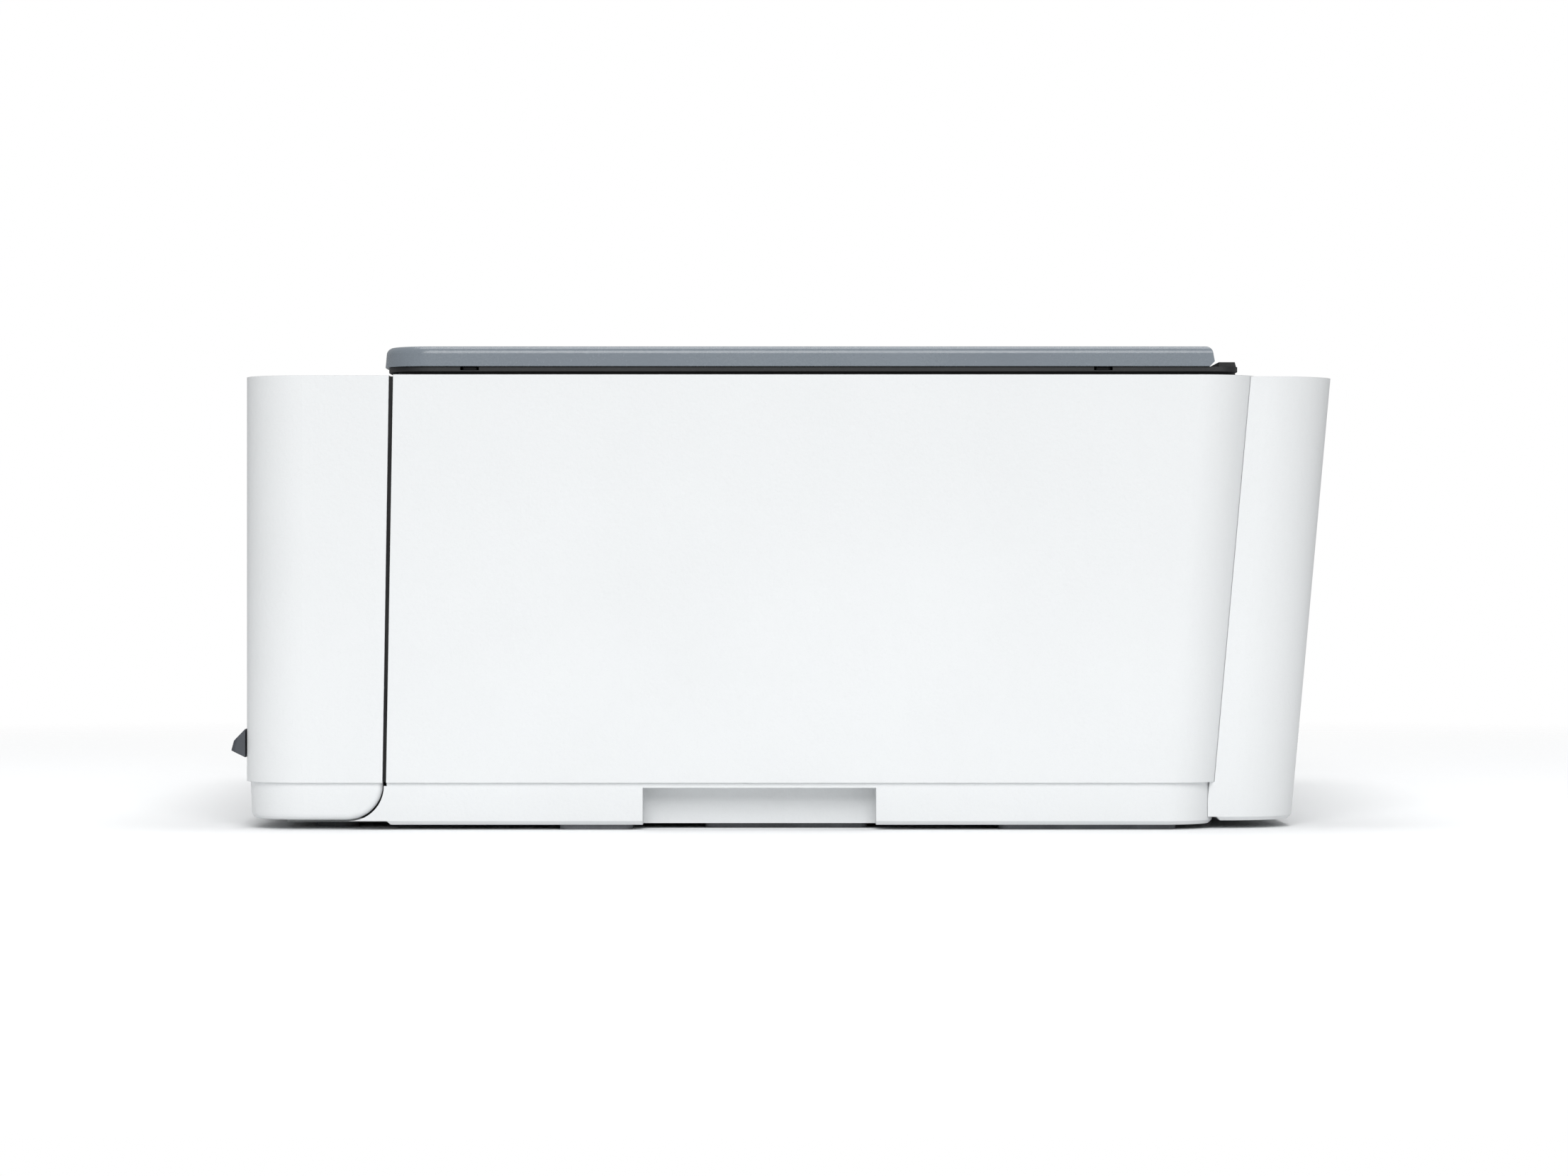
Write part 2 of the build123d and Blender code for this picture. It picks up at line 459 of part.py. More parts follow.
with BuildPart() as rear_hopper:
    slab(leaning(0, HOPPER_DEEP, 2.6, HOPPER_TOP), -HOPPER_HALF, HOPPER_HALF)
    fillet(end_edges(rear_hopper, rearmost=True), 22.0)
    with BuildPart(mode=Mode.PRIVATE) as room:
        slab(leaning(ROOM0, ROOM1, 4.8, HOPPER_TOP - WALL), -HOPPER_HALF + WALL,
             HOPPER_HALF - WALL)
        fillet(end_edges(room, rearmost=True), 19.5)
    add(room.part, mode=Mode.SUBTRACT)
    chamfer(rear_hopper.faces().sort_by(Axis.Z)[0].outer_wire().edges(), 1.2)
    # flanks that close the wedge beside the housing's rounded corner
    for side in (-1, 1):
        slab(leaning(-3.5, 0.5, 3.8, HOPPER_TOP), min(side * FLANK_X, side * HOPPER_HALF),
             max(side * FLANK_X, side * HOPPER_HALF))
    with BuildPart(mode=Mode.PRIVATE) as housing_room:
        slab([(120, BAND_TOP), (120, HOUSING_TOP + 1), (rear_wall_y(HOUSING_TOP + 1) + 0.1, HOUSING_TOP + 1),
              (rear_wall_y(BAND_TOP) + 0.1, BAND_TOP)], -HALF - 0.1, HALF + 0.1)
        fillet(end_edges(housing_room, rearmost=True), 18.1)
        plate(-PAN_HALF - 0.1, PAN_HALF + 0.1, 80, PAN_Y1 + 0.1, 0, BAND_TOP, 17.1)
    add(housing_room.part, mode=Mode.SUBTRACT)
    # paper slot in the top, with the notch for the support's extension
    block(-113, 113, 157.2, 171.0, 140, 150, mode=Mode.SUBTRACT)
    block(-63, 63, 170.5, 173.8, 140, 150, mode=Mode.SUBTRACT)
    # shelf that the paper stands on, and the walls of the paper well
    slab(leaning(ROOM0 - 0.5, ROOM1 + 0.5, 49, 51), -124, 124)
    for x in (-124, 122.4):
        slab(leaning(ROOM0 - 0.5, ROOM1 + 0.5, 50, HOPPER_TOP - 1), x, x + 1.6)
    # window for the pick roller and the paper
    slab(leaning(-3, ROOM0 + 0.2, 44, 90), -118, 118, mode=Mode.SUBTRACT)
    # window for wiring
    slab(leaning(-3, ROOM0 + 0.2, 18, 40), 122, 196, mode=Mode.SUBTRACT)
    # sockets
    slab(leaning(ROOM1 - 1, HOPPER_DEEP + 1, SOCKET_Z - 9, SOCKET_Z + 9), INLET_X - 14, INLET_X + 14,
         mode=Mode.SUBTRACT)
    slab(leaning(ROOM1 - 1, HOPPER_DEEP + 1, SOCKET_Z - 6, SOCKET_Z + 6), USB_X - 6.5, USB_X + 6.5,
         mode=Mode.SUBTRACT)
save(rear_hopper, "rear_hopper")

SUPPORT0, SUPPORT1 = 13.2, 15.3
with BuildPart() as paper_support:
    slab(leaning(SUPPORT0, SUPPORT1, 62, HOPPER_TOP - 0.6), -108, 108)
    plate(-112.4, 112.4, 157.8, hopper_y(147, SUPPORT1), HOPPER_TOP - 1, HOPPER_TOP + 0.8, 1.6)
    slab(leaning(SUPPORT0 - 1, SUPPORT1 + 1, 62, 74), -20, 20, mode=Mode.SUBTRACT)
save(paper_support, "paper_support")

with BuildPart() as support_extension:
    slab(leaning(15.8, 17.6, 66, 143), -58, 58)
    slab(leaning(15.8, 19.0, 140, 144.6), -24, 24)
save(support_extension, "support_extension")

with BuildPart() as hopper_plate:
    slab(leaning(12.0, 12.9, 62, 104), -46, 46)
    for x in (-46, 44.4):
        slab(leaning(10.4, 12.9, 66, 104), x, x + 1.6)
save(hopper_plate, "hopper_plate")

GUIDE_X = 106.0
for side, name in ((-1, "edge_guide_left"), (1, "edge_guide_right")):
    with BuildPart() as edge_guide:
        blade = (side * GUIDE_X, side * (GUIDE_X + 1.6))
        slab(leaning(3.6, 11.4, 66, 138), min(blade), max(blade))
        foot = (side * (GUIDE_X - 22), side * GUIDE_X)
        slab(leaning(10.2, 11.4, 110, 132), min(foot), max(foot))
        grip = (side * (GUIDE_X + 1.6), side * (GUIDE_X + 8))
        slab(leaning(4, 10, 128, 134), min(grip), max(grip))
    save(edge_guide, name)

with BuildPart() as rear_screws:
    for x, z in ((-170, 22), (0, 22), (-170, 118), (170, 118)):
        seat = Plane(origin=(x, hopper_y(z, HOPPER_DEEP), z), x_dir=(1, 0, 0),
                     z_dir=(0, cos(radians(5.15)), -sin(radians(5.15))))
        with BuildPart(mode=Mode.PRIVATE) as screw:
            with BuildSketch(seat) as head:
                Circle(3.2)
            extrude(head.sketch, amount=1.5)
            rim = screw.edges().filter_by(GeomType.CIRCLE).sort_by(Axis(seat.origin, seat.z_dir))[-1]
            fillet(rim, 0.7)
            with BuildSketch(seat.offset(0.7)) as cross:
                Rectangle(3.6, 0.8)
                Rectangle(0.8, 3.6)
            extrude(cross.sketch, amount=1.2, mode=Mode.SUBTRACT)
        add(screw.part)
save(rear_screws, "rear_screws")

with BuildPart() as power_supply:
    slab(leaning(3, ROOM1 - 1.2, 6, 46), 136, 184)
    slab(leaning(ROOM1 - 1.5, HOPPER_DEEP + 0.2, SOCKET_Z - 8.6, SOCKET_Z + 8.6), INLET_X - 13.6,
         INLET_X + 13.6)
    inlet_y = hopper_y(SOCKET_Z, HOPPER_DEEP)
    for x in (INLET_X - 4, INLET_X + 4):
        spindle(x, SOCKET_Z, inlet_y - 14, inlet_y + 3, 4.3, mode=Mode.SUBTRACT)
    block(INLET_X - 4, INLET_X + 4, inlet_y - 14, inlet_y + 3, SOCKET_Z - 3.2, SOCKET_Z + 3.2,
          mode=Mode.SUBTRACT)
    for x in (INLET_X - 4, INLET_X + 4):
        spindle(x, SOCKET_Z, inlet_y - 15, inlet_y - 4, 1.2)
save(power_supply, "power_supply")

with BuildPart() as main_board:
    slab(leaning(5, 6.6, 6, 46), 20, 132)
    slab(leaning(6.6, HOPPER_DEEP + 0.2, SOCKET_Z - 5.6, SOCKET_Z + 5.6), USB_X - 6.1, USB_X + 6.1)
    usb_y = hopper_y(SOCKET_Z, HOPPER_DEEP)
    block(USB_X - 4.6, USB_X + 4.6, usb_y - 9, usb_y + 3, SOCKET_Z - 4, SOCKET_Z + 4,
          mode=Mode.SUBTRACT)
    block(USB_X - 2.8, USB_X + 2.8, usb_y - 10, usb_y - 5, SOCKET_Z - 1.6, SOCKET_Z + 1.6)
    slab(leaning(6.6, 8.8, 16, 34), 50, 68)
    slab(leaning(6.6, 8.2, 14, 24), 78, 92)
    slab(leaning(6.6, 8.2, 28, 38), 78, 92)
    for x in (28, 36, 44):
        slab(leaning(6.6, 12, 10, 16), x, x + 5)
save(main_board, "main_board")

# ---------------------------------------------------------------- output tray
TRAY_X0, TRAY_X1 = PAPER_X0 + 2.4, PAPER_X1 - 2.4
LIP_HALF = 201.0
with BuildPart() as output_tray:
    block(TRAY_X0, TRAY_X1, FRONT_Y, -16, 24, 26.4)
    for x in (TRAY_X0, TRAY_X1 - 1.8):
        block(x, x + 1.8, FRONT_Y, -16, 24, 31)
    slab([(FRONT_Y - 0.3, 32.3), (-180.2, 28.3), (-DEPTH / 2, 25.3), (FRONT_Y - 0.3, 23.0)],
         -LIP_HALF, LIP_HALF)
    fillet(end_edges(output_tray, rearmost=False), 1.5)
    slab([(FRONT_Y, 32.0), (FRONT_Y - 1, 32.0), (FRONT_Y - 1, 23.2), (FRONT_Y, 23.2)], TRAY_X0, TRAY_X1)
    for x in range(-170, 90, 26):
        block(x, x + 1.6, -168, -22, 26.4, 27.4)
save(output_tray, "output_tray")

EXTENDER_X0, EXTENDER_X1 = -92.0, -4.0
with BuildPart() as tray_extender:
    plate(EXTENDER_X0, EXTENDER_X1, FRONT_Y + 0.4, -34, 20.9, 22.5, 2.0)
    plate(-64, -32, FRONT_Y + 3, FRONT_Y + 12, 20, 24, 2.0, mode=Mode.SUBTRACT)
save(tray_extender, "tray_extender")

# ---------------------------------------------------------------- print engine frame
MOTOR = (FEED[0] - 20.0, FEED[1] - (27.0 ** 2 - 20.0 ** 2) ** 0.5)
IDLER = ((FEED[0] + EXIT[0]) / 2, FEED[1])
PICK_ANGLE = degrees(atan2(PICK[1] - FEED[1], PICK[0] - FEED[0]))
PICK_IDLER = (FEED[0] + 33 * cos(radians(PICK_ANGLE)), FEED[1] + 33 * sin(radians(PICK_ANGLE)))
PULLEY_X0, PULLEY_X1, PULLEY_Z = -181.0, 184.0, 100.0
PLATE_Y = 80.0
LEFT_PLATE, RIGHT_PLATE = (-172.0, -170.5), (101.0, 102.5)

with BuildPart() as chassis:
    block(-192, 192, PLATE_Y, PLATE_Y + 1.5, PAN_Z0 + 6, 117.5)
    block(-193, -172.5, PLATE_Y - 1, PLATE_Y + 3, 3, 76, mode=Mode.SUBTRACT)
    block(-165, 96, PLATE_Y - 1, PLATE_Y + 3, 46, 68.5, mode=Mode.SUBTRACT)
    front_plate(-150, -20, 14, 40, PLATE_Y - 1, PLATE_Y + 3, 4.0, mode=Mode.SUBTRACT)
    front_plate(0, 90, 14, 40, PLATE_Y - 1, PLATE_Y + 3, 4.0, mode=Mode.SUBTRACT)
    spindle(PULLEY_X0, PULLEY_Z, PLATE_Y - 1, PLATE_Y + 3, 4.0, mode=Mode.SUBTRACT)
    block(-192, 192, 68, PLATE_Y + 1.5, 116, 117.5)
    for x0, x1 in (LEFT_PLATE, RIGHT_PLATE):
        block(x0, x1, -14, 100, 14, 59)
        block(x0, x1, -12, 4, 59, 70)
        rod(x0 - 1, x1 + 1, FEED, 3.06, mode=Mode.SUBTRACT)
        rod(x0 - 1, x1 + 1, EXIT, 2.56, mode=Mode.SUBTRACT)
        rod(x0 - 1, x1 + 1, STAR, 1.06, mode=Mode.SUBTRACT)
    rod(LEFT_PLATE[0] - 1, LEFT_PLATE[1] + 1, MOTOR, 2.4, mode=Mode.SUBTRACT)
    # ends of the carriage's guide rod
    for x in (-192, 189.5):
        block(x, x + 2.5, 64, PLATE_Y + 1, 64, 84)
    rod(-193, 193, ROD, ROD_R, mode=Mode.SUBTRACT)
    # brackets of the pick shaft
    for x in (-174, -52, 50):
        block(x, x + 1.6, PLATE_Y, 143, 67, 84)
        rod(x - 1, x + 3, PICK, 2.56, mode=Mode.SUBTRACT)
    # hooks of the pinch shaft
    for x in (-105, -5, 42):
        block(x, x + 1.6, PLATE_Y + 1, 94, 60, 74)
        rod(x - 1, x + 3, PINCH, 1.26, mode=Mode.SUBTRACT)
    # stub shafts of the two idlers and of the belt's idler pulley
    rod(-180.5, LEFT_PLATE[1], IDLER, 2.5)
    block(-174, -172.4, 112, 130, 58, 72)
    rod(-180.5, -172.4, PICK_IDLER, 2.5)
    spindle(PULLEY_X1, PULLEY_Z, 71, PLATE_Y + 1, 2.0)
save(chassis, "chassis")

with BuildPart() as guide_rod:
    rod(-192, 192, ROD, ROD_R)
save(guide_rod, "guide_rod")

with BuildPart() as platen:
    block(-165, 98, 12, 78, 46, 55.5)
    block(-162, 95, 14, 76, 44, 53.5, mode=Mode.SUBTRACT)
    for x in range(-158, 96, 14):
        block(x, x + 1.4, 13, 77, 55.5, 58.0)
save(platen, "platen")

with BuildPart() as waste_tray:
    block(112, 190, 8, 76, 4.0, 38)
    block(114, 188, 10, 74, 6.0, 39, mode=Mode.SUBTRACT)
save(waste_tray, "waste_tray")

with BuildPart() as service_sled:
    block(130, 172, 16, 48, 24, 42)
    block(118, 184, 13, 52, 42, 50)
    for x in (134, 166):
        plate(x - 12, x + 12, 17, 50, 50, 60.3, 3.0)
        plate(x - 10, x + 10, 19, 48, 54, 61, 2.0, mode=Mode.SUBTRACT)
save(service_sled, "service_sled")

# ---------------------------------------------------------------- rollers and gears
GRIP_XS = (-130, -80, -30, 20, 65)
FEED_TEETH, MOTOR_TEETH, IDLER_TEETH, EXIT_TEETH = 44, 10, 50, 44
PICK_IDLER_TEETH, PICK_TEETH = 22, 14
idler_phase = mesh_phase(0, FEED_TEETH, IDLER_TEETH, 180)
exit_phase = mesh_phase(idler_phase, IDLER_TEETH, EXIT_TEETH, 180)
motor_phase = mesh_phase(0, FEED_TEETH, MOTOR_TEETH, degrees(atan2(MOTOR[1] - FEED[1], MOTOR[0] - FEED[0])))
pick_idler_phase = mesh_phase(0, FEED_TEETH, PICK_IDLER_TEETH, PICK_ANGLE)
pick_phase = mesh_phase(pick_idler_phase, PICK_IDLER_TEETH, PICK_TEETH, PICK_ANGLE)

with BuildPart() as feed_roller:
    rod(-186, 104, FEED, 3.0)
    rod(-165, 97, FEED, FEED_R)
save(feed_roller, "feed_roller")

with BuildPart() as feed_gear:
    gear(FEED_TEETH, FEED, 0, 3.0)
    for spoke in range(6):
        angle = radians(60 * spoke + 30)
        rod(GEAR_X0, GEAR_X1, (FEED[0] + 12.5 * cos(angle), FEED[1] + 12.5 * sin(angle)), 4.2,
            mode=Mode.SUBTRACT)
    rod(-185.4, -184.8, FEED, 20.0)
    rod(-184.9, GEAR_X0, FEED, 6.0)
    rod(-186, GEAR_X1, FEED, 3.0, mode=Mode.SUBTRACT)
save(feed_gear, "feed_gear")

with BuildPart() as exit_roller:
    rod(-181, 104, EXIT, 2.5)
    for x in GRIP_XS:
        rod(x - 12, x + 12, EXIT, EXIT_R)
    gear(EXIT_TEETH, EXIT, exit_phase, 0)
save(exit_roller, "exit_roller")

with BuildPart() as idler_gear:
    gear(IDLER_TEETH, IDLER, idler_phase, 2.56)
save(idler_gear, "idler_gear")

with BuildPart() as motor_pinion:
    gear(MOTOR_TEETH, MOTOR, motor_phase, 0)
    rod(-181, -162, MOTOR, 1.5)
save(motor_pinion, "motor_pinion")

with BuildPart() as feed_motor:
    rod(-170.4, -146, MOTOR, 9.7)
    rod(-171, -160, MOTOR, 1.56, mode=Mode.SUBTRACT)
save(feed_motor, "feed_motor")

with BuildPart() as pick_idler:
    gear(PICK_IDLER_TEETH, PICK_IDLER, pick_idler_phase, 2.56)
save(pick_idler, "pick_idler")

with BuildPart() as pick_roller:
    rod(-181, 54, PICK, 2.5)
    rod(-42, 42, PICK, PICK_R)
    gear(PICK_TEETH, PICK, pick_phase, 0)
save(pick_roller, "pick_roller")

with BuildPart() as pinch_rollers:
    rod(-146, 90, PINCH, 1.2)
    for x in GRIP_XS:
        rod(x - 9, x + 9, PINCH, PINCH_R)
save(pinch_rollers, "pinch_rollers")

with BuildPart() as star_wheels:
    rod(-173, 103.5, STAR, 1.0)
    for x in GRIP_XS:
        for shift in (-8, 0, 8):
            rod(x + shift - 0.5, x + shift + 0.5, STAR, STAR_R)
save(star_wheels, "star_wheels")

# ---------------------------------------------------------------- carriage and its drive
CX0, CX1 = CARRIAGE_X - CARRIAGE_W / 2, CARRIAGE_X + CARRIAGE_W / 2
HEADS = ((CX0 + 4, CX0 + 34), (CX1 - 34, CX1 - 4))
LATCH_AXIS = (8.2, 78.0)
with BuildPart() as carriage:
    block(CX0, CX1, 10, 66, 62, 108)
    block(CX0 + 3, CX1 - 3, 62, 79.2, 64, 84)
    for x0, x1 in HEADS:
        block(x0, x1, 13, 62, 64, 109, mode=Mode.SUBTRACT)
        block(x0 + 4, x1 - 4, 18, 58, 61, 65, mode=Mode.SUBTRACT)
    for x0, x1 in ((CX0, CX0 + 2.6), (CX1 - 2.6, CX1)):
        block(x0, x1, 5.6, 11, 74, 82)
    rod(CX0, CX1, LATCH_AXIS, 1.06, mode=Mode.SUBTRACT)
    rod(CX0, CX1, ROD, ROD_R + 0.06, mode=Mode.SUBTRACT)
    block(CARRIAGE_X - 6, CARRIAGE_X + 6, 65, 72.4, 90, 96)
save(carriage, "carriage")

for (x0, x1), name in zip(HEADS, ("printhead_black", "printhead_color")):
    with BuildPart() as printhead:
        block(x0 + 0.4, x1 - 0.4, 13.4, 61.6, 64, 104)
        block(x0 + 5, x1 - 5, 19, 57, 61.4, 64)
        block(x0 + 6, x1 - 6, 13.4, 16, 104, 107)
        fillet(printhead.edges().filter_by(Axis.Z).group_by(Axis.Y)[0], 1.0)
    save(printhead, name)

with BuildPart() as carriage_latch:
    block(CX0 + 3, CX1 - 3, 6.6, 9.6, LATCH_AXIS[1], 104)
    rod(CX0 + 3, CX1 - 3, LATCH_AXIS, 1.4)
    rod(CX0 + 0.4, CX1 - 0.4, LATCH_AXIS, 1.0)
    block(CARRIAGE_X - 12, CARRIAGE_X + 12, 4.6, 6.6, 98, 104)
save(carriage_latch, "carriage_latch")

with BuildPart() as carriage_motor:
    spindle(PULLEY_X0, PULLEY_Z, PLATE_Y + 1.6, PLATE_Y + 26, 12.0)
    spindle(PULLEY_X0, PULLEY_Z, PLATE_Y + 1, PLATE_Y + 12, 1.56, mode=Mode.SUBTRACT)
save(carriage_motor, "carriage_motor")

with BuildPart() as motor_pulley:
    spindle(PULLEY_X0, PULLEY_Z, 72, 79, 6.0)
    spindle(PULLEY_X0, PULLEY_Z, 78.4, 79.2, 8.2)
    spindle(PULLEY_X0, PULLEY_Z, 71, PLATE_Y + 10, 1.5)
save(motor_pulley, "motor_pulley")

with BuildPart() as idler_pulley:
    spindle(PULLEY_X1, PULLEY_Z, 72, 79, 6.0)
    spindle(PULLEY_X1, PULLEY_Z, 78.4, 79.2, 8.2)
    spindle(PULLEY_X1, PULLEY_Z, 71, 80, 2.06, mode=Mode.SUBTRACT)
save(idler_pulley, "idler_pulley")

with BuildPart() as drive_belt:
    with BuildSketch(Plane.XZ.offset(-78)):
        with Locations(((PULLEY_X0 + PULLEY_X1) / 2, PULLEY_Z)):
            SlotCenterToCenter(PULLEY_X1 - PULLEY_X0, 15.0)
            SlotCenterToCenter(PULLEY_X1 - PULLEY_X0, 12.6, mode=Mode.SUBTRACT)
    extrude(amount=4.8)
save(drive_belt, "drive_belt")

# flexible tubes from the tanks to the parked carriage
with BuildPart() as ink_tubes:
    for i, x in enumerate(TANK_XS):
        x_head = CARRIAGE_X - 18 + 12 * i
        with BuildLine() as route:
            FilletPolyline((x, -108, 104), (x, -84, 104), (x_head, -36, 113), (x_head, 30, 113),
                           (x_head, 30, 104.6), radius=6)
        with BuildSketch(Plane(origin=(x, -108, 104), z_dir=(0, 1, 0))) as bore:
            Circle(1.5)
        sweep(bore.sketch, path=route.wire())
save(ink_tubes, "ink_tubes")
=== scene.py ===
"""Looks of an ink-tank inkjet printer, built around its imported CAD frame. Metres, +Z up, front towards -Y."""

import math

import bmesh
import bpy
from mathutils import Matrix, Vector


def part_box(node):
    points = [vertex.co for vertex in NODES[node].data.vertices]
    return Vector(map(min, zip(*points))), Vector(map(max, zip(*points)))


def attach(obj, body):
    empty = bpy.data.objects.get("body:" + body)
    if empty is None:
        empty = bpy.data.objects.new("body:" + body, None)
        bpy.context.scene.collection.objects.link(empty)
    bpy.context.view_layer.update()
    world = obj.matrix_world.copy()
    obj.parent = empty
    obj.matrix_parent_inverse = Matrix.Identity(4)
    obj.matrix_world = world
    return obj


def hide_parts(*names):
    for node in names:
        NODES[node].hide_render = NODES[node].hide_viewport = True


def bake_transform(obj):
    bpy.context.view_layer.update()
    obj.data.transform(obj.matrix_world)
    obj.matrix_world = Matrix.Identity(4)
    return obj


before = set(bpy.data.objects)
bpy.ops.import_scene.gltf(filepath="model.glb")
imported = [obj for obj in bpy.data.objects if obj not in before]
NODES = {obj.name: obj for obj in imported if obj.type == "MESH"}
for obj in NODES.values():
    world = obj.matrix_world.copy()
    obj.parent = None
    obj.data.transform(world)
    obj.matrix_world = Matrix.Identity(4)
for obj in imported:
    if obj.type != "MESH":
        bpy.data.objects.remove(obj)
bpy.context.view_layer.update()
MM = 0.001


# ---------------------------------------------------------------- node trees
def srgb(red, green, blue):
    """A colour given as 0 to 255 screen values, as linear RGBA."""
    def linear(value):
        value /= 255
        return value / 12.92 if value <= 0.04045 else ((value + 0.055) / 1.055) ** 2.4
    return (linear(red), linear(green), linear(blue), 1.0)


def shade(colour, factor):
    """The colour made lighter or darker."""
    return tuple(min(1.0, part * factor) for part in colour[:3]) + (1.0,)


def add_node(tree, kind, **settings):
    """A new shader node of that kind, with its settings."""
    node = tree.nodes.new("ShaderNode" + kind)
    for key, value in settings.items():
        setattr(node, key, value)
    return node


def new_material(name, **sockets):
    """A material, its node tree and its shader, with the constants set on the shader's own sockets."""
    made = bpy.data.materials.new(name)
    made.use_nodes = True
    shader = made.node_tree.nodes["Principled BSDF"]
    for socket, value in sockets.items():
        shader.inputs[socket.replace("_", " ")].default_value = value
    return made, made.node_tree, shader


def placed(tree, stretch=(1, 1, 1)):
    """The piece's own coordinates in metres, scaled along each axis."""
    place = add_node(tree, "TexCoord")
    mapping = add_node(tree, "Mapping")
    mapping.inputs["Scale"].default_value = stretch
    tree.links.new(place.outputs["Object"], mapping.inputs["Vector"])
    return mapping.outputs["Vector"]


def noise(tree, size, detail=2.0, stretch=(1, 1, 1)):
    """Cloudy noise whose features are about size metres wide."""
    node = add_node(tree, "TexNoise")
    node.inputs["Scale"].default_value = 1 / size
    node.inputs["Detail"].default_value = detail
    tree.links.new(placed(tree, stretch), node.inputs["Vector"])
    return node.outputs["Fac"]


def cells(tree, size):
    """Distance to the nearest of many points about size metres apart."""
    node = add_node(tree, "TexVoronoi", feature="SMOOTH_F1")
    node.inputs["Scale"].default_value = 1 / size
    tree.links.new(placed(tree), node.inputs["Vector"])
    return node.outputs["Distance"]


def ranged(tree, value, low, high, from_low=0.3, from_high=0.7):
    """The value stretched to run from low to high."""
    node = add_node(tree, "MapRange")
    limits = {"From Min": from_low, "From Max": from_high, "To Min": low, "To Max": high}
    for socket, number in limits.items():
        node.inputs[socket].default_value = number
    tree.links.new(value, node.inputs["Value"])
    return node.outputs["Result"]


def mixed(tree, factor, first, second):
    """Two colours, or two colour sockets, mixed by a factor socket."""
    node = add_node(tree, "Mix", data_type="RGBA")
    tree.links.new(factor, node.inputs["Factor"])
    for socket, value in ((node.inputs[6], first), (node.inputs[7], second)):
        if isinstance(value, tuple):
            socket.default_value = value
        else:
            tree.links.new(value, socket)
    return node.outputs[2]


def added(tree, first, second, weight):
    """first plus weight times second."""
    node = add_node(tree, "Math", operation="MULTIPLY_ADD")
    tree.links.new(second, node.inputs[0])
    node.inputs[1].default_value = weight
    tree.links.new(first, node.inputs[2])
    return node.outputs[0]


def bumped(tree, shader, height, depth, edge=0.0):
    """Relief of that depth in metres, over edges softened by a small radius."""
    bump = add_node(tree, "Bump")
    bump.inputs["Distance"].default_value = depth
    tree.links.new(height, bump.inputs["Height"])
    if edge:
        bevel = add_node(tree, "Bevel", samples=4)
        bevel.inputs["Radius"].default_value = edge
        tree.links.new(bevel.outputs["Normal"], bump.inputs["Normal"])
    tree.links.new(bump.outputs["Normal"], shader.inputs["Normal"])


# ---------------------------------------------------------------- materials
def moulded(name, colour, roughness, grain=1.1 * MM, depth=0.05 * MM, edge=0.3 * MM, tone=0.03, **sockets):
    """Injection-moulded plastic: a pebbled grain, slow changes of tone and sheen, and faint specks."""
    made, tree, shader = new_material(name, **sockets)
    slow = noise(tree, 60 * MM, 3)
    fine = noise(tree, grain, 2)
    tint = mixed(tree, ranged(tree, slow, 0, 1), shade(colour, 1 - tone), shade(colour, 1 + tone))
    specks = ranged(tree, noise(tree, grain / 3, 1), 0, 0.12, 0.55, 0.75)
    colour_out = mixed(tree, specks, tint, shade(colour, 0.8))
    tree.links.new(colour_out, shader.inputs["Base Color"])
    sheen = ranged(tree, added(tree, slow, fine, 0.5), roughness - 0.05, roughness + 0.05, 0.5, 1.0)
    tree.links.new(sheen, shader.inputs["Roughness"])
    relief = added(tree, fine, cells(tree, grain * 1.4), 0.6)
    bumped(tree, shader, relief, depth, edge)
    return made


def gloss(name, colour, roughness=0.08, **sockets):
    """Polished plastic with faint hairline scratches and finger smears."""
    made, tree, shader = new_material(name, **sockets)
    smear = noise(tree, 22 * MM, 4)
    hair = noise(tree, 0.5 * MM, 1, (1, 0.04, 1))
    tree.links.new(mixed(tree, ranged(tree, smear, 0, 1), shade(colour, 0.92), shade(colour, 1.1)),
                   shader.inputs["Base Color"])
    tree.links.new(ranged(tree, added(tree, smear, hair, 0.3), roughness, roughness + 0.1, 0.5, 0.95),
                   shader.inputs["Roughness"])
    bumped(tree, shader, added(tree, hair, noise(tree, 9 * MM, 1), 2.0), 0.004 * MM, 0.25 * MM)
    return made


def clear_plastic(name, colour, roughness, see, **sockets):
    """See-through moulded plastic: tinted, faintly wavy, and see from 0, dense, to 1, clear."""
    made, tree, shader = new_material(name, Transmission_Weight=see, IOR=1.49, **sockets)
    wave = noise(tree, 14 * MM, 2)
    grain = noise(tree, 0.6 * MM, 1)
    tree.links.new(mixed(tree, ranged(tree, wave, 0, 1), shade(colour, 0.93), shade(colour, 1.04)),
                   shader.inputs["Base Color"])
    tree.links.new(ranged(tree, added(tree, wave, grain, 0.4), roughness, roughness + 0.08, 0.5, 0.9),
                   shader.inputs["Roughness"])
    bumped(tree, shader, added(tree, grain, wave, 3.0), 0.006 * MM, 0.2 * MM)
    return made


def metal(name, colour, roughness, grain, stretch, depth=0.01 * MM):
    """Rolled, drawn or turned metal: fine lines along the way it was worked, and dull patches."""
    made, tree, shader = new_material(name, Metallic=1.0)
    lines = noise(tree, grain, 3, stretch)
    patch = noise(tree, 30 * MM, 4)
    tree.links.new(mixed(tree, ranged(tree, added(tree, patch, lines, 0.4), 0, 1, 0.5, 0.95),
                         shade(colour, 0.82), shade(colour, 1.08)), shader.inputs["Base Color"])
    tree.links.new(ranged(tree, added(tree, lines, patch, 0.6), roughness - 0.07, roughness + 0.1, 0.5, 1.1),
                   shader.inputs["Roughness"])
    bumped(tree, shader, lines, depth, 0.3 * MM)
    return made


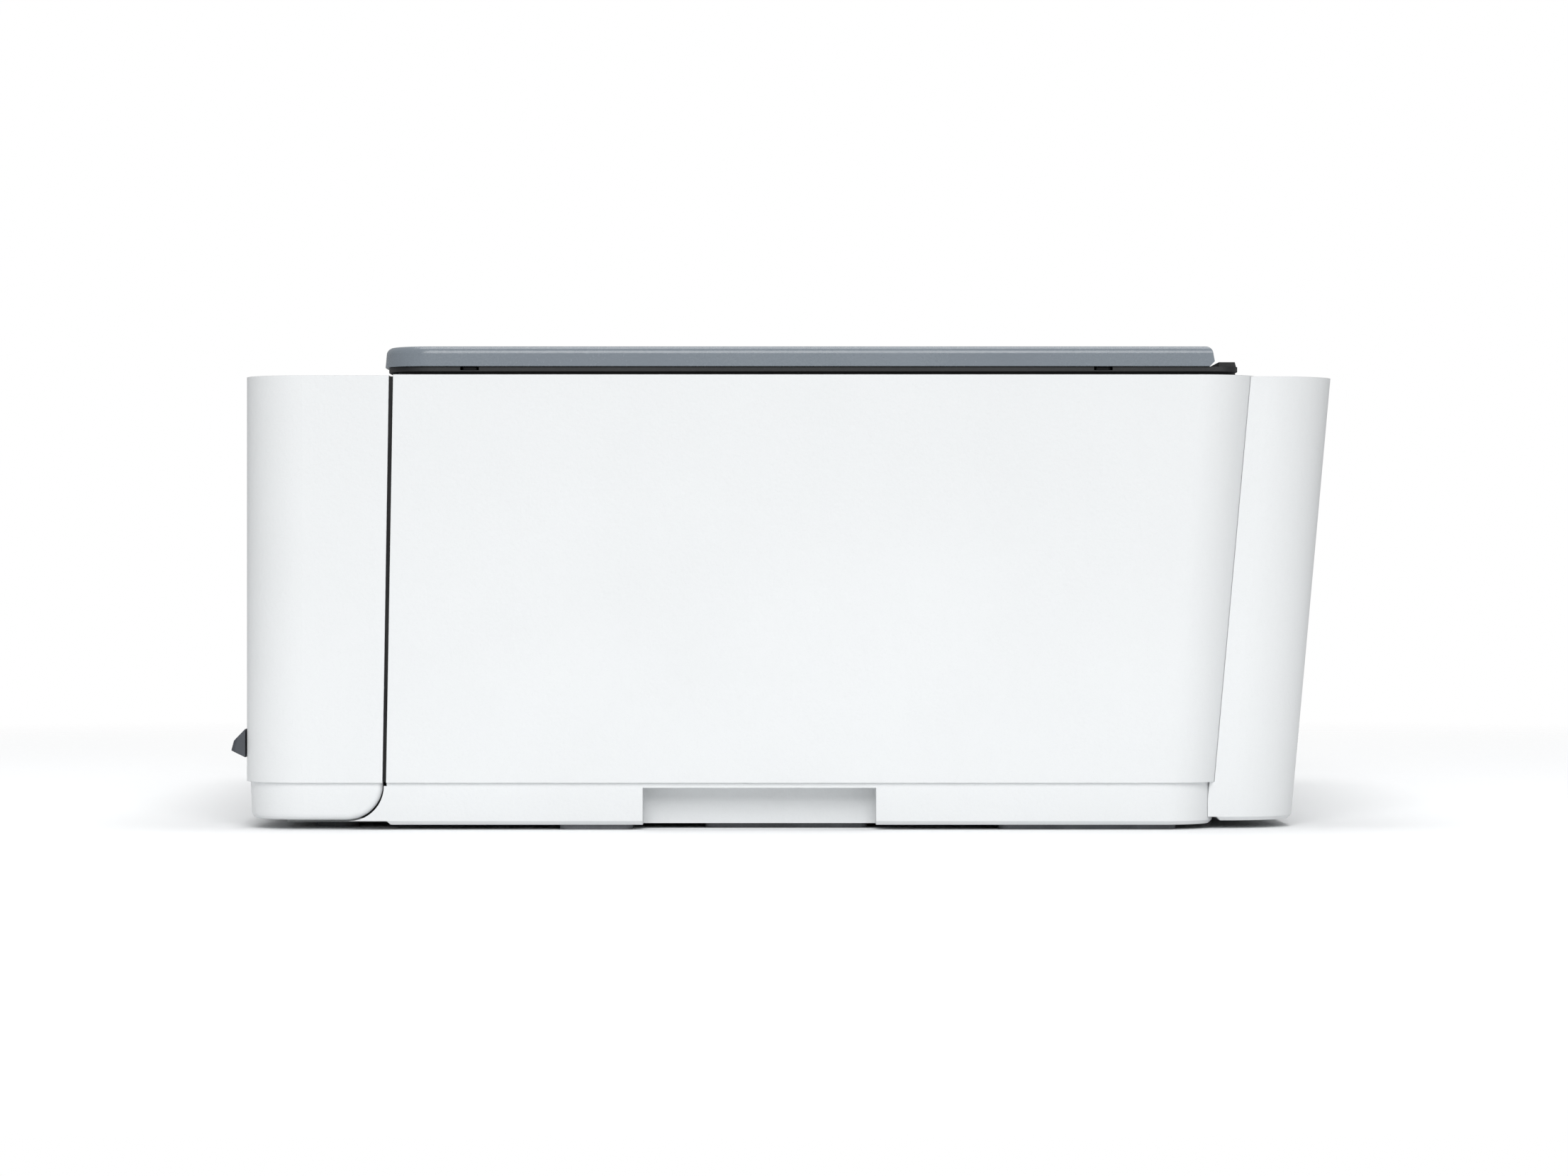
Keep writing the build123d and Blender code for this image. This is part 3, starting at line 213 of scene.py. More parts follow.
def rubber(name, colour, roughness=0.75, grain=0.35 * MM, depth=0.03 * MM):
    """Ground rubber: a fine dull tooth, with dusty paler patches."""
    made, tree, shader = new_material(name)
    tooth = noise(tree, grain, 3)
    dust = noise(tree, 12 * MM, 4)
    tree.links.new(mixed(tree, ranged(tree, added(tree, dust, tooth, 0.4), 0, 1, 0.55, 1.0),
                         colour, shade(colour, 1.7)), shader.inputs["Base Color"])
    tree.links.new(ranged(tree, dust, roughness - 0.08, roughness + 0.1), shader.inputs["Roughness"])
    bumped(tree, shader, added(tree, tooth, cells(tree, grain * 2), 0.5), depth)
    return made


def foam(name, colour):
    """Soft white foam sheet: open cells under a thin matt skin."""
    made, tree, shader = new_material(name, Roughness=0.9, Sheen_Weight=0.25)
    open_cells = cells(tree, 0.7 * MM)
    cloud = noise(tree, 40 * MM, 3)
    tint = mixed(tree, ranged(tree, cloud, 0, 1), shade(colour, 0.96), colour)
    tree.links.new(mixed(tree, ranged(tree, open_cells, 0.25, 0, 0.0, 0.45), tint, shade(colour, 0.8)),
                   shader.inputs["Base Color"])
    bumped(tree, shader, added(tree, open_cells, noise(tree, 0.3 * MM, 2), 0.4), 0.12 * MM)
    return made


def circuit_board(name):
    """Solder mask over copper: darker ground with paler tracks and round vias."""
    made, tree, shader = new_material(name, Specular_IOR_Level=0.6)
    tracks = add_node(tree, "TexBrick", offset=0.37, squash=0.6, squash_frequency=3)
    tracks.inputs["Scale"].default_value = 1 / (14 * MM)
    tracks.inputs["Mortar Size"].default_value = 0.05
    tracks.inputs["Mortar Smooth"].default_value = 0.2
    turned = add_node(tree, "Mapping")
    turned.inputs["Rotation"].default_value = (math.radians(90), 0, 0)
    tree.links.new(placed(tree), turned.inputs["Vector"])
    tree.links.new(turned.outputs["Vector"], tracks.inputs["Vector"])
    mask = mixed(tree, noise(tree, 8 * MM, 2), srgb(18, 74, 44), srgb(26, 92, 56))
    vias = ranged(tree, cells(tree, 3 * MM), 1, 0, 0.08, 0.12)
    ground = mixed(tree, tracks.outputs["Fac"], mask, srgb(44, 122, 78))
    tree.links.new(mixed(tree, vias, ground, srgb(176, 158, 96)), shader.inputs["Base Color"])
    tree.links.new(ranged(tree, noise(tree, 5 * MM, 2), 0.3, 0.42), shader.inputs["Roughness"])
    bumped(tree, shader, tracks.outputs["Fac"], 0.03 * MM)
    return made


def ink(name, colour):
    """Dense liquid ink seen through its tank: even colour with a darker cloud and a wet surface."""
    made, tree, shader = new_material(name, Coat_Weight=0.6, Coat_Roughness=0.05)
    cloud = noise(tree, 18 * MM, 2)
    tree.links.new(mixed(tree, ranged(tree, cloud, 0, 1), shade(colour, 0.75), shade(colour, 1.1)),
                   shader.inputs["Base Color"])
    tree.links.new(ranged(tree, cloud, 0.12, 0.22), shader.inputs["Roughness"])
    bumped(tree, shader, noise(tree, 25 * MM, 1), 0.05 * MM)
    return made


WHITE = srgb(222, 224, 225)
LID_GREY = srgb(116, 124, 132)
TRAY_GREY = srgb(63, 67, 73)

MATERIALS = {
    "white_shell": moulded("white_shell", WHITE, 0.48, grain=1.2 * MM, depth=0.06 * MM, tone=0.012),
    "lid_shell": moulded("lid_shell", LID_GREY, 0.26, grain=0.9 * MM, depth=0.03 * MM),
    "dark_trim": moulded("dark_trim", srgb(22, 23, 25), 0.55, grain=0.8 * MM, depth=0.03 * MM),
    "tray_plastic": moulded("tray_plastic", TRAY_GREY, 0.42, grain=0.9 * MM, depth=0.04 * MM),
    "button_plastic": moulded("button_plastic", srgb(58, 62, 67), 0.34, grain=0.5 * MM, depth=0.01 * MM),
    "cap_plastic": moulded("cap_plastic", srgb(40, 42, 46), 0.4, grain=0.6 * MM, depth=0.02 * MM),
    "gear_plastic": moulded("gear_plastic", srgb(214, 210, 198), 0.4, grain=0.7 * MM, depth=0.015 * MM),
    "black_engine": moulded("black_engine", srgb(34, 35, 37), 0.5, grain=0.8 * MM, depth=0.03 * MM),
    "latch_blue": moulded("latch_blue", srgb(44, 108, 168), 0.38, grain=0.6 * MM, depth=0.015 * MM),
    "head_plastic": moulded("head_plastic", srgb(52, 54, 60), 0.35, grain=0.6 * MM, depth=0.015 * MM),
    "psu_case": moulded("psu_case", srgb(30, 31, 33), 0.55, grain=0.7 * MM, depth=0.04 * MM),
    "glossy_black": gloss("glossy_black", srgb(16, 17, 19), 0.07, Coat_Weight=0.5, Coat_Roughness=0.04),
    "display": gloss("display", srgb(9, 11, 14), 0.05, Coat_Weight=1.0, Coat_Roughness=0.02),
    "tank_plastic": clear_plastic("tank_plastic", srgb(248, 250, 250), 0.02, 1.0),
    "smoked_window": clear_plastic("smoked_window", srgb(240, 242, 244), 0.01, 1.0),
    "scan_glass": clear_plastic("scan_glass", srgb(214, 226, 222), 0.02, 0.96),
    "tube_plastic": clear_plastic("tube_plastic", srgb(210, 210, 208), 0.25, 0.5),
    "sheet_steel": metal("sheet_steel", srgb(188, 191, 192), 0.36, 1.2 * MM, (0.08, 1, 1)),
    "steel_bar": metal("steel_bar", srgb(200, 201, 202), 0.2, 0.4 * MM, (0.05, 1, 1), 0.004 * MM),
    "motor_can": metal("motor_can", srgb(150, 150, 150), 0.3, 0.6 * MM, (0.1, 1, 1)),
    "roller_rubber": rubber("roller_rubber", srgb(52, 53, 55)),
    "rubber_pad": rubber("rubber_pad", srgb(96, 98, 101), depth=0.05 * MM),
    "belt_rubber": rubber("belt_rubber", srgb(26, 27, 29), 0.6, 0.3 * MM),
    "foam_white": foam("foam_white", srgb(233, 234, 232)),
    "board": circuit_board("board"),
}
for node in NODES.values():
    for index, held in enumerate(node.data.materials):
        node.data.materials[index] = MATERIALS[held.name.split(".")[0]]


# ---------------------------------------------------------------- mesh helpers
def rounded(x0, x1, y0, y1, radius, steps=5):
    """Outline of a rectangle with round corners."""
    corners = ((x1 - radius, y1 - radius, 0), (x0 + radius, y1 - radius, 90),
               (x0 + radius, y0 + radius, 180), (x1 - radius, y0 + radius, 270))
    outline = []
    for x, y, start in corners:
        for step in range(steps + 1):
            angle = math.radians(start + 90 * step / steps)
            outline.append((x + radius * math.cos(angle), y + radius * math.sin(angle)))
    return outline


def round_outline(x, y, radius, steps=28):
    return [(x + radius * math.cos(math.tau * i / steps), y + radius * math.sin(math.tau * i / steps))
            for i in range(steps)]


def arc_band(x, y, radius, width, start, end, steps=24):
    """Outline of a band along an arc from start to end, in degrees."""
    angles = [math.radians(start + (end - start) * i / steps) for i in range(steps + 1)]
    outer = [(x + (radius + width / 2) * math.cos(a), y + (radius + width / 2) * math.sin(a)) for a in angles]
    inner = [(x + (radius - width / 2) * math.cos(a), y + (radius - width / 2) * math.sin(a)) for a in angles]
    return outer + inner[::-1]


def bar_outline(start, end, width):
    """Outline of a straight bar between two points."""
    along = (Vector(end) - Vector(start)).normalized()
    side = Vector((-along.y, along.x)) * width / 2
    return [tuple(Vector(start) + side), tuple(Vector(start) - side),
            tuple(Vector(end) - side), tuple(Vector(end) + side)]


def add_prism(shape, outline, low, high, soft=0.0, turn=None):
    """Adds an outline run from low to high to the mesh, with its rims softened; turn is its placing."""
    part = bmesh.new()
    base = part.faces.new([part.verts.new((x, y, low)) for x, y in outline])
    grown = bmesh.ops.extrude_face_region(part, geom=[base])["geom"]
    top = [g for g in grown if isinstance(g, bmesh.types.BMVert)]
    bmesh.ops.translate(part, vec=(0, 0, high - low), verts=top)
    bmesh.ops.recalc_face_normals(part, faces=part.faces)
    if soft:
        rims = [edge for edge in part.edges if edge.calc_face_angle(0) > math.radians(50)]
        bmesh.ops.bevel(part, geom=rims, offset=soft, segments=2, profile=0.6, affect="EDGES")
    if turn is not None:
        part.transform(turn)
    added_part = bpy.data.meshes.new("part")
    part.to_mesh(added_part)
    part.free()
    shape.from_mesh(added_part)
    bpy.data.meshes.remove(added_part)


def join_rings(shape, rings):
    """Walls between each outline of vertices and the next, with both ends closed."""
    for lower, upper in zip(rings, rings[1:]):
        for i in range(len(lower)):
            j = (i + 1) % len(lower)
            shape.faces.new((lower[i], lower[j], upper[j], upper[i]))
    shape.faces.new(rings[0][::-1])
    shape.faces.new(rings[-1])


def piece(name, shape, material, body, stands_for=()):
    """Turns the finished mesh into a shown piece that rides on a CAD body."""
    mesh = shape
    if isinstance(shape, bmesh.types.BMesh):
        mesh = bpy.data.meshes.new(name)
        shape.to_mesh(mesh)
        shape.free()
    mesh.shade_smooth()
    mesh.set_sharp_from_angle(angle=math.radians(35))
    mesh.materials.clear()
    mesh.materials.append(material)
    held = bpy.data.objects.new(name, mesh)
    bpy.context.scene.collection.objects.link(held)
    if body:
        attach(held, body)
    if stands_for:
        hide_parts(*stands_for)
    return held


def tube_mesh(points, radius, sides=3):
    """A round tube along a smooth curve that is pulled towards the points."""
    curve = bpy.data.curves.new("route", "CURVE")
    curve.dimensions = "3D"
    curve.bevel_depth = radius
    curve.bevel_resolution = sides
    curve.resolution_u = 6
    curve.use_fill_caps = True
    spline = curve.splines.new("NURBS")
    spline.points.add(len(points) - 1)
    for point, place in zip(spline.points, points):
        point.co = (*place, 1)
    spline.order_u = 3
    spline.use_endpoint_u = True
    held = bpy.data.objects.new("route", curve)
    mesh = bpy.data.meshes.new_from_object(held)
    bpy.data.objects.remove(held)
    return mesh


# stand an outline up: on the front face, drawn in x and z, or across the printer, drawn in y and z
FACE_FRONT = Matrix(((1, 0, 0, 0), (0, 0, 1, 0), (0, 1, 0, 0), (0, 0, 0, 1)))
FACE_SIDE = Matrix(((0, 0, 1, 0), (1, 0, 0, 0), (0, 1, 0, 0), (0, 0, 0, 1)))
SUNK = 0.02 * MM          # how far a print reaches into the face that it is on
PRINTED = 0.04 * MM       # how far a print stands proud


# ---------------------------------------------------------------- ink
INKS = {"black": srgb(24, 24, 28), "cyan": srgb(0, 158, 214), "magenta": srgb(218, 30, 124),
        "yellow": srgb(250, 218, 34)}
INK_MATERIALS = {name: ink("ink_" + name, colour) for name, colour in INKS.items()}
FILLED = {"black": 0.86, "cyan": 0.74, "magenta": 0.66, "yellow": 0.79}
TANK_WIDTH = 22 * MM
TANK_WALL = 1.5 * MM
tank_low, tank_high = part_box("ink_tanks")
tank_pitch = (tank_high.x - tank_low.x - TANK_WIDTH) / 3
TANK_XS = [tank_low.x + TANK_WIDTH / 2 + tank_pitch * i for i in range(4)]
TANK_BODY_TOP = tank_high.z - 7 * MM


def ink_fill(name, x):
    """The ink in one tank, with a meniscus climbing its walls."""
    gap = TANK_WALL + 0.05 * MM
    x0, x1 = x - TANK_WIDTH / 2 + gap, x + TANK_WIDTH / 2 - gap
    y0, y1 = tank_low.y + gap, tank_high.y - gap
    floor = tank_low.z + gap
    level = floor + (TANK_BODY_TOP - tank_low.z - 2 * gap) * FILLED[name]
    shape = bmesh.new()
    rings = []
    for inset, z in ((0.3, floor), (0, floor + 0.3 * MM), (0, level), (0.35, level - 0.35 * MM),
                     (1.0, level - 0.6 * MM), (2.2, level - 0.7 * MM)):
        inset *= MM
        outline = rounded(x0 + inset, x1 - inset, y0 + inset, y1 - inset, max(0.3 * MM, 2 * MM - inset))
        rings.append([shape.verts.new((px, py, z)) for px, py in outline])
    join_rings(shape, rings)
    piece("ink_" + name, shape, INK_MATERIALS[name], "housing")


def cap_mark(name, x):
    """Coloured insert in the top of one tank's cap."""
    cap_low, cap_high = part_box("tank_caps")
    shape = bmesh.new()
    centre = (cap_low.y + cap_high.y) / 2 + 2 * MM
    add_prism(shape, round_outline(x, centre, 6.5 * MM), cap_high.z - 0.1 * MM, cap_high.z + 0.25 * MM,
              0.1 * MM)
    piece("cap_mark_" + name, shape, MARKS[name], "housing")


def window_marks(name, x):
    """Fill lines and a coloured dot printed on the window in front of one tank."""
    low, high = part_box("ink_window")
    front = low.y
    shape = bmesh.new()
    for z in (low.z + 0.2 * (high.z - low.z), low.z + 0.82 * (high.z - low.z)):
        add_prism(shape, bar_outline((x - 6 * MM, z), (x + 7 * MM, z), 0.5 * MM),
                  front - 0.04 * MM, front + 0.02 * MM, turn=FACE_FRONT)
        add_prism(shape, [(x - 6 * MM, z), (x - 4.4 * MM, z + 1.8 * MM), (x - 7.6 * MM, z + 1.8 * MM)],
                  front - 0.04 * MM, front + 0.02 * MM, turn=FACE_FRONT)
    piece("level_marks_" + name, shape, PRINT_WHITE, "housing")
    dot = bmesh.new()
    add_prism(dot, round_outline(x, high.z - 8.5 * MM, 2.6 * MM), front - 0.04 * MM, front + 0.02 * MM,
              turn=FACE_FRONT)
    piece("window_dot_" + name, dot, MARKS[name], "housing")


PRINT_WHITE = moulded("print_white", srgb(226, 229, 231), 0.4, grain=0.25 * MM, depth=0.004 * MM, edge=0)
MARKS = {name: moulded("mark_" + name, colour, 0.35, grain=0.5 * MM, depth=0.008 * MM, edge=0)
         for name, colour in INKS.items()}
for ink_name, tank_x in zip(INKS, TANK_XS):
    ink_fill(ink_name, tank_x)
    cap_mark(ink_name, tank_x)
    window_marks(ink_name, tank_x)


def ink_tubes():
    """Four soft tubes from the tanks to the carriage, laid along one fixed route."""
    low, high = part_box("ink_tubes")
    start_y, end_y = low.y + 24 * MM, high.y - 1.5 * MM
    low_z, high_z = low.z + 1.5 * MM, high.z - 1.5 * MM
    head_low, head_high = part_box("carriage")
    shape = bmesh.new()
    for number, x in enumerate(TANK_XS):
        head_x = (head_low.x + head_high.x) / 2 + (number * 12 - 18) * MM
        route = [(x, low.y, low_z), (x, low.y + 14 * MM, low_z), (x, start_y, low_z),
                 ((x * 2 + head_x) / 3, start_y + 18 * MM, low_z + 3 * MM),
                 ((x + head_x * 2) / 3, start_y + 32 * MM, high_z - 3 * MM),
                 (head_x, start_y + 50 * MM, high_z), (head_x, end_y - 18 * MM, high_z),
                 (head_x, end_y, high_z), (head_x, end_y, low_z + 3 * MM), (head_x, end_y, low_z + 0.6 * MM)]
        shape.from_mesh(tube_mesh(route, 1.5 * MM, 4))
    tubes = piece("soft_ink_tubes", shape, MATERIALS["tube_plastic"], None, ("ink_tubes",))
    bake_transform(tubes)


ink_tubes()


# ---------------------------------------------------------------- control panel
def on_button(name):
    """Middle of a button's top face, and its radius."""
    low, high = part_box(name)
    return (low.x + high.x) / 2, (low.y + high.y) / 2, high.z, (high.x - low.x) / 2 - 1.2 * MM


def print_icon(button, outlines, material=None, extra=""):
    """Prints flat outlines on a button; they are given in button radii about its middle."""
    x, y, top, radius = on_button(button)
    shape = bmesh.new()
    for outline in outlines:
        placed_outline = [(x + px * radius, y + py * radius) for px, py in outline]
        add_prism(shape, placed_outline, top - SUNK, top + PRINTED)
    piece("icon_" + button + extra, shape, material or PRINT_WHITE, button)


def sheet_icon(x, y):
    """Outline of a small page with a folded corner, as four thin bars and the fold."""
    w, h, line = 0.26, 0.34, 0.06
    points = [(x - w, y - h), (x + w, y - h), (x + w, y + h * 0.4), (x + w * 0.4, y + h), (x - w, y + h)]
    return [bar_outline(a, b, line) for a, b in zip(points, points[1:] + points[:1])]


def drop_icon(x, y, size):
    """Outline of an ink drop."""
    arc = [(x + size * math.cos(math.radians(a)), y + size * math.sin(math.radians(a)))
           for a in range(-220, 41, 13)]
    return arc + [(x, y + size * 2.1)]


print_icon("power_button", [arc_band(0, -0.04, 0.44, 0.1, 125, 415), bar_outline((0, 0.1), (0, 0.56), 0.1)])
print_icon("wireless_button", [round_outline(0, -0.36, 0.09, 16)]
           + [arc_band(0, -0.36, r, 0.1, 45, 135, 12) for r in (0.3, 0.54, 0.78)])
print_icon("info_button", [round_outline(0, 0.36, 0.11, 16), bar_outline((0, 0.12), (0, -0.46), 0.16),
                           bar_outline((-0.16, 0.06), (0.02, 0.06), 0.12),
                           bar_outline((-0.2, -0.46), (0.2, -0.46), 0.12)])
print_icon("cancel_button", [bar_outline((-0.36, -0.36), (0.36, 0.36), 0.12),
                             bar_outline((-0.36, 0.36), (-0.07, 0.07), 0.12),
                             bar_outline((0.07, -0.07), (0.36, -0.36), 0.12)])
for copy_button in ("copy_black_button", "copy_color_button"):
    print_icon(copy_button, sheet_icon(-0.2, 0.12) + sheet_icon(0.16, -0.08))
print_icon("copy_black_button", [drop_icon(0.52, -0.5, 0.12)], extra="_drop")
for drop_number, drop_colour in enumerate(("cyan", "magenta", "yellow")):
    print_icon("copy_color_button", [drop_icon(0.3 + 0.2 * drop_number, -0.56 + 0.12 * drop_number, 0.08)],
               MARKS[drop_colour], "_" + drop_colour)


def lit(name, colour, strength):
    """A small lamp's frosted window, glowing."""
    made, tree, shader = new_material(name, Emission_Strength=strength)
    frost = noise(tree, 0.8 * MM, 2)
    glow = mixed(tree, ranged(tree, frost, 0, 1), shade(colour, 0.8), colour)
    tree.links.new(glow, shader.inputs["Base Color"])
    tree.links.new(glow, shader.inputs["Emission Color"])
    tree.links.new(ranged(tree, frost, 0.3, 0.45), shader.inputs["Roughness"])
    return made


LAMP_WHITE = lit("lamp_white", srgb(214, 232, 255), 0.8)
LAMP_BLUE = lit("lamp_blue", srgb(60, 140, 255), 1.2)
DISPLAY_GLOW = lit("display_glow", srgb(196, 220, 236), 0.7)


def panel_lamps():
    """Slim status lamps set in the panel beside the keys."""
    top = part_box("control_fascia")[1].z
    for button, material in (("power_button", LAMP_WHITE), ("wireless_button", LAMP_BLUE),
                             ("copy_color_button", LAMP_WHITE)):
        x, y, _, radius = on_button(button)
        shape = bmesh.new()
        front = y + radius + 1.6 * MM
        add_prism(shape, rounded(x - 2.6 * MM, x + 2.6 * MM, front, front + 1 * MM, 0.45 * MM),
                  top - 0.1 * MM, top + 0.06 * MM, 0.04 * MM)
        piece("lamp_" + button, shape, material, "housing")


def display_marks():
    """Symbols on the display: signal bars, a page with its frame, an ink gauge and a count of one."""
    low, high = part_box("display_window")
    top = high.z
    middle = (low.y + high.y) / 2
    shape = bmesh.new()

    def draw(outline):
        add_prism(shape, outline, top - 0.02 * MM, top + 0.03 * MM)

    for step in range(4):
        x = low.x + (6 + 2.2 * step) * MM
        draw(bar_outline((x, middle + 5 * MM), (x, middle + (6.4 + 0.9 * step) * MM), 1.3 * MM))
    frame_points = [(low.x + 6 * MM, middle - 8 * MM), (low.x + 15 * MM, middle - 8 * MM),
                    (low.x + 15 * MM, middle + 2 * MM), (low.x + 6 * MM, middle + 2 * MM)]
    for start, end in zip(frame_points, frame_points[1:] + frame_points[:1]):
        draw(bar_outline(start, end, 0.5 * MM))
    for row in range(3):
        y = middle - (5.6 - 2.4 * row) * MM
        draw(bar_outline((low.x + 8 * MM, y), (low.x + 13 * MM, y), 0.5 * MM))
    # two upright strokes of a seven-stroke digit, with the unlit ones left out
    digit_x = (low.x + high.x) / 2 + 2 * MM
    for y0, y1 in ((-6.5, -0.4), (0.4, 6.5)):
        draw(bar_outline((digit_x, middle + y0 * MM), (digit_x, middle + y1 * MM), 1.2 * MM))
    for step in range(4):
        x = high.x - (6 + 3.6 * step) * MM
        draw(bar_outline((x, middle - 6 * MM), (x, middle + (5 - 2.2 * step) * MM), 2.2 * MM))
    piece("display_marks", shape, DISPLAY_GLOW, "housing")


panel_lamps()
display_marks()


# ---------------------------------------------------------------- scanner
PAD_STEP = 0.7 * MM       # how far the pad's middle reaches down past its border, onto the glass
PAD_CORNER = 5 * MM


def spread(start, end, steps):
    """Places that lie closer together near both ends."""
    return [start + (end - start) * (1 - math.cos(math.pi * i / steps)) / 2 for i in range(steps + 1)]


def inside(x, y, low, high):
    """How far a place is inside a rectangle, negative outside it."""
    return min(x - low.x, high.x - x, y - low.y, high.y - y)


def pad_skin(x, y, low, high, glass_low, glass_high):
    """Height of the pad's underside: puffed in its middle, with a weld line and a rounded rim."""
    swell = min(1.0, max(0.0, (inside(x, y, glass_low, glass_high) - 5.5 * MM) / (9 * MM)))
    puff = math.sin(swell * math.pi / 2)
    ripple = 0.04 * MM * (1 + math.sin(x * 210) * math.sin(y * 170 + x * 40)) * puff
    edge = inside(x, y, low, high)
    weld = 0.5 * MM * math.exp(-((edge - 5 * MM) / (1.3 * MM)) ** 2)
    rim = 0.6 * MM * math.exp(-(edge / (0.9 * MM)) ** 2)
    return low.z + PAD_STEP * (1 - 0.97 * puff) + ripple + weld + rim


def round_corner(x, y, low, high):
    """Pulls a place near the corner of a rectangle in, so that the corner is round."""
    turn_x = min(max(x, low.x + PAD_CORNER), high.x - PAD_CORNER)
    turn_y = min(max(y, low.y + PAD_CORNER), high.y - PAD_CORNER)
    away = math.hypot(x - turn_x, y - turn_y)
    if away == 0:
        return x, y
    pull = max(abs(x - turn_x), abs(y - turn_y)) / away
    return turn_x + (x - turn_x) * pull, turn_y + (y - turn_y) * pull


def lid_pad():
    """The foam pad under the lid, with a welded border round its soft middle."""
    low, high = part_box("lid_backing")
    glass_low, glass_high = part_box("scanner_glass")
    across, along = 72, 56
    shape = bmesh.new()
    rows = []
    for y in spread(low.y, high.y, along):
        row = []
        for x in spread(low.x, high.x, across):
            z = pad_skin(x, y, low, high, glass_low, glass_high)
            row.append(shape.verts.new((*round_corner(x, y, low, high), z)))
        rows.append(row)
    for lower, upper in zip(rows, rows[1:]):
        for i in range(across):
            shape.faces.new((lower[i], upper[i], upper[i + 1], lower[i + 1]))
    rim_edges = [edge for edge in shape.edges if edge.is_boundary]
    grown = bmesh.ops.extrude_edge_only(shape, edges=rim_edges)["geom"]
    for vert in (part for part in grown if isinstance(part, bmesh.types.BMVert)):
        vert.co.z = high.z
    bmesh.ops.contextual_create(shape, geom=[edge for edge in shape.edges if edge.is_boundary])
    bmesh.ops.recalc_face_normals(shape, faces=shape.faces)
    pad = piece("lid_pad", shape, MATERIALS["foam_white"], "scanner_lid", ("lid_backing",))


STOP_Y = (-101.8 * MM, 104.0 * MM)
STOP_X0, STOP_X1 = 209.4 * MM, 214.6 * MM
STOP_Z0, STOP_Z1 = 149.3 * MM, 150.3 * MM


def lid_stops():
    """Rubber stops in the notches of the scanner bezel, which the lid rests on."""
    shape = bmesh.new()
    for side in (-1, 1):
        for y in STOP_Y:
            near, far = sorted((side * STOP_X0, side * STOP_X1))
            add_prism(shape, rounded(near, far, y - 2.6 * MM, y + 2.6 * MM, 0.9 * MM),
                      STOP_Z0, STOP_Z1, 0.25 * MM)
    piece("lid_stops", shape, STOP_RUBBER, "housing")


def glass_marks():
    """Printed marks by the glass: the arrow that shows where a page's corner goes, and four scale ticks."""
    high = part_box("scanner_glass")[1]
    bezel_top = STOP_Z1 + 0.1 * MM
    shape = bmesh.new()
    corner_x, corner_y = high.x + 3 * MM, high.y + 3 * MM
    add_prism(shape, [(corner_x, corner_y), (corner_x - 6 * MM, corner_y), (corner_x, corner_y - 6 * MM)],
              bezel_top - SUNK, bezel_top + PRINTED)
    for step in range(1, 5):
        x = high.x - 50 * MM * step
        add_prism(shape, bar_outline((x, corner_y - 0.6 * MM), (x, corner_y + 2.4 * MM), 0.5 * MM),
                  bezel_top - SUNK, bezel_top + PRINTED)
    piece("glass_marks", shape, PRINT_WHITE, "housing")


def scan_bar_parts():
    """Light guide and a row of lens windows along the top of the scan bar."""
    low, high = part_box("scan_bar")
    middle = (low.x + high.x) / 2
    guide = bmesh.new()
    add_prism(guide, rounded(middle - 6.2 * MM, middle - 2.4 * MM, low.y + 8 * MM, high.y - 8 * MM, 0.6 * MM),
              high.z - 0.5 * MM, high.z + 0.25 * MM, 0.2 * MM)
    piece("scan_light_guide", guide, LAMP_WHITE, "scan_bar")
    lens = bmesh.new()
    for step in range(100):
        y = low.y + 9 * MM + (high.y - low.y - 18 * MM) * step / 99
        add_prism(lens, round_outline(middle, y, 0.95 * MM, 10), high.z - 2.6 * MM, high.z - 1.9 * MM)
    piece("scan_lens_row", lens, MATERIALS["display"], "scan_bar")


STOP_RUBBER = rubber("stop_rubber", srgb(30, 31, 33), 0.6)
# painted shade: near-black rubber for the seam strips, standing in for the dark of a deep gap
SEAM_SHADE_BLACK = rubber("seam_painted_shade", srgb(12, 12, 13), 0.8)
lid_pad()
lid_stops()
glass_marks()
scan_bar_parts()


# ---------------------------------------------------------------- shell details
def seam_shade_strips():
    """Black strips in the seam between the front bezel and the side panels: painted shade, a dark sheet
    standing in for the shadow deep in the gap.
    """
    low_z, high_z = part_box("main_housing")[0].z + 0.3 * MM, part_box("front_bezel")[1].z - 0.3 * MM
    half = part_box("main_housing")[1].x
    shape = bmesh.new()
    for side in (-1, 1):
        inner, outer = side * (half - 3.0 * MM), side * (half - 0.9 * MM)
        profile = [(-129.9 * MM, low_z), (-128.0 * MM, high_z), (-126.6 * MM, high_z), (-128.7 * MM, low_z)]
        add_prism(shape, profile, min(inner, outer), max(inner, outer), 0.1 * MM, turn=FACE_SIDE)
    piece("seam_shade_strips", shape, SEAM_SHADE_BLACK, "housing")


LEAN = math.radians(5.15)
DATA_SOCKET_X, DATA_SOCKET_Z = 118.5 * MM, 27 * MM


def rear_point(x, z):
    """A place on the leaning rear face, at x and height z."""
    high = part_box("rear_hopper")[1]
    return Vector((x, high.y - (high.z - z) * math.tan(LEAN), z))


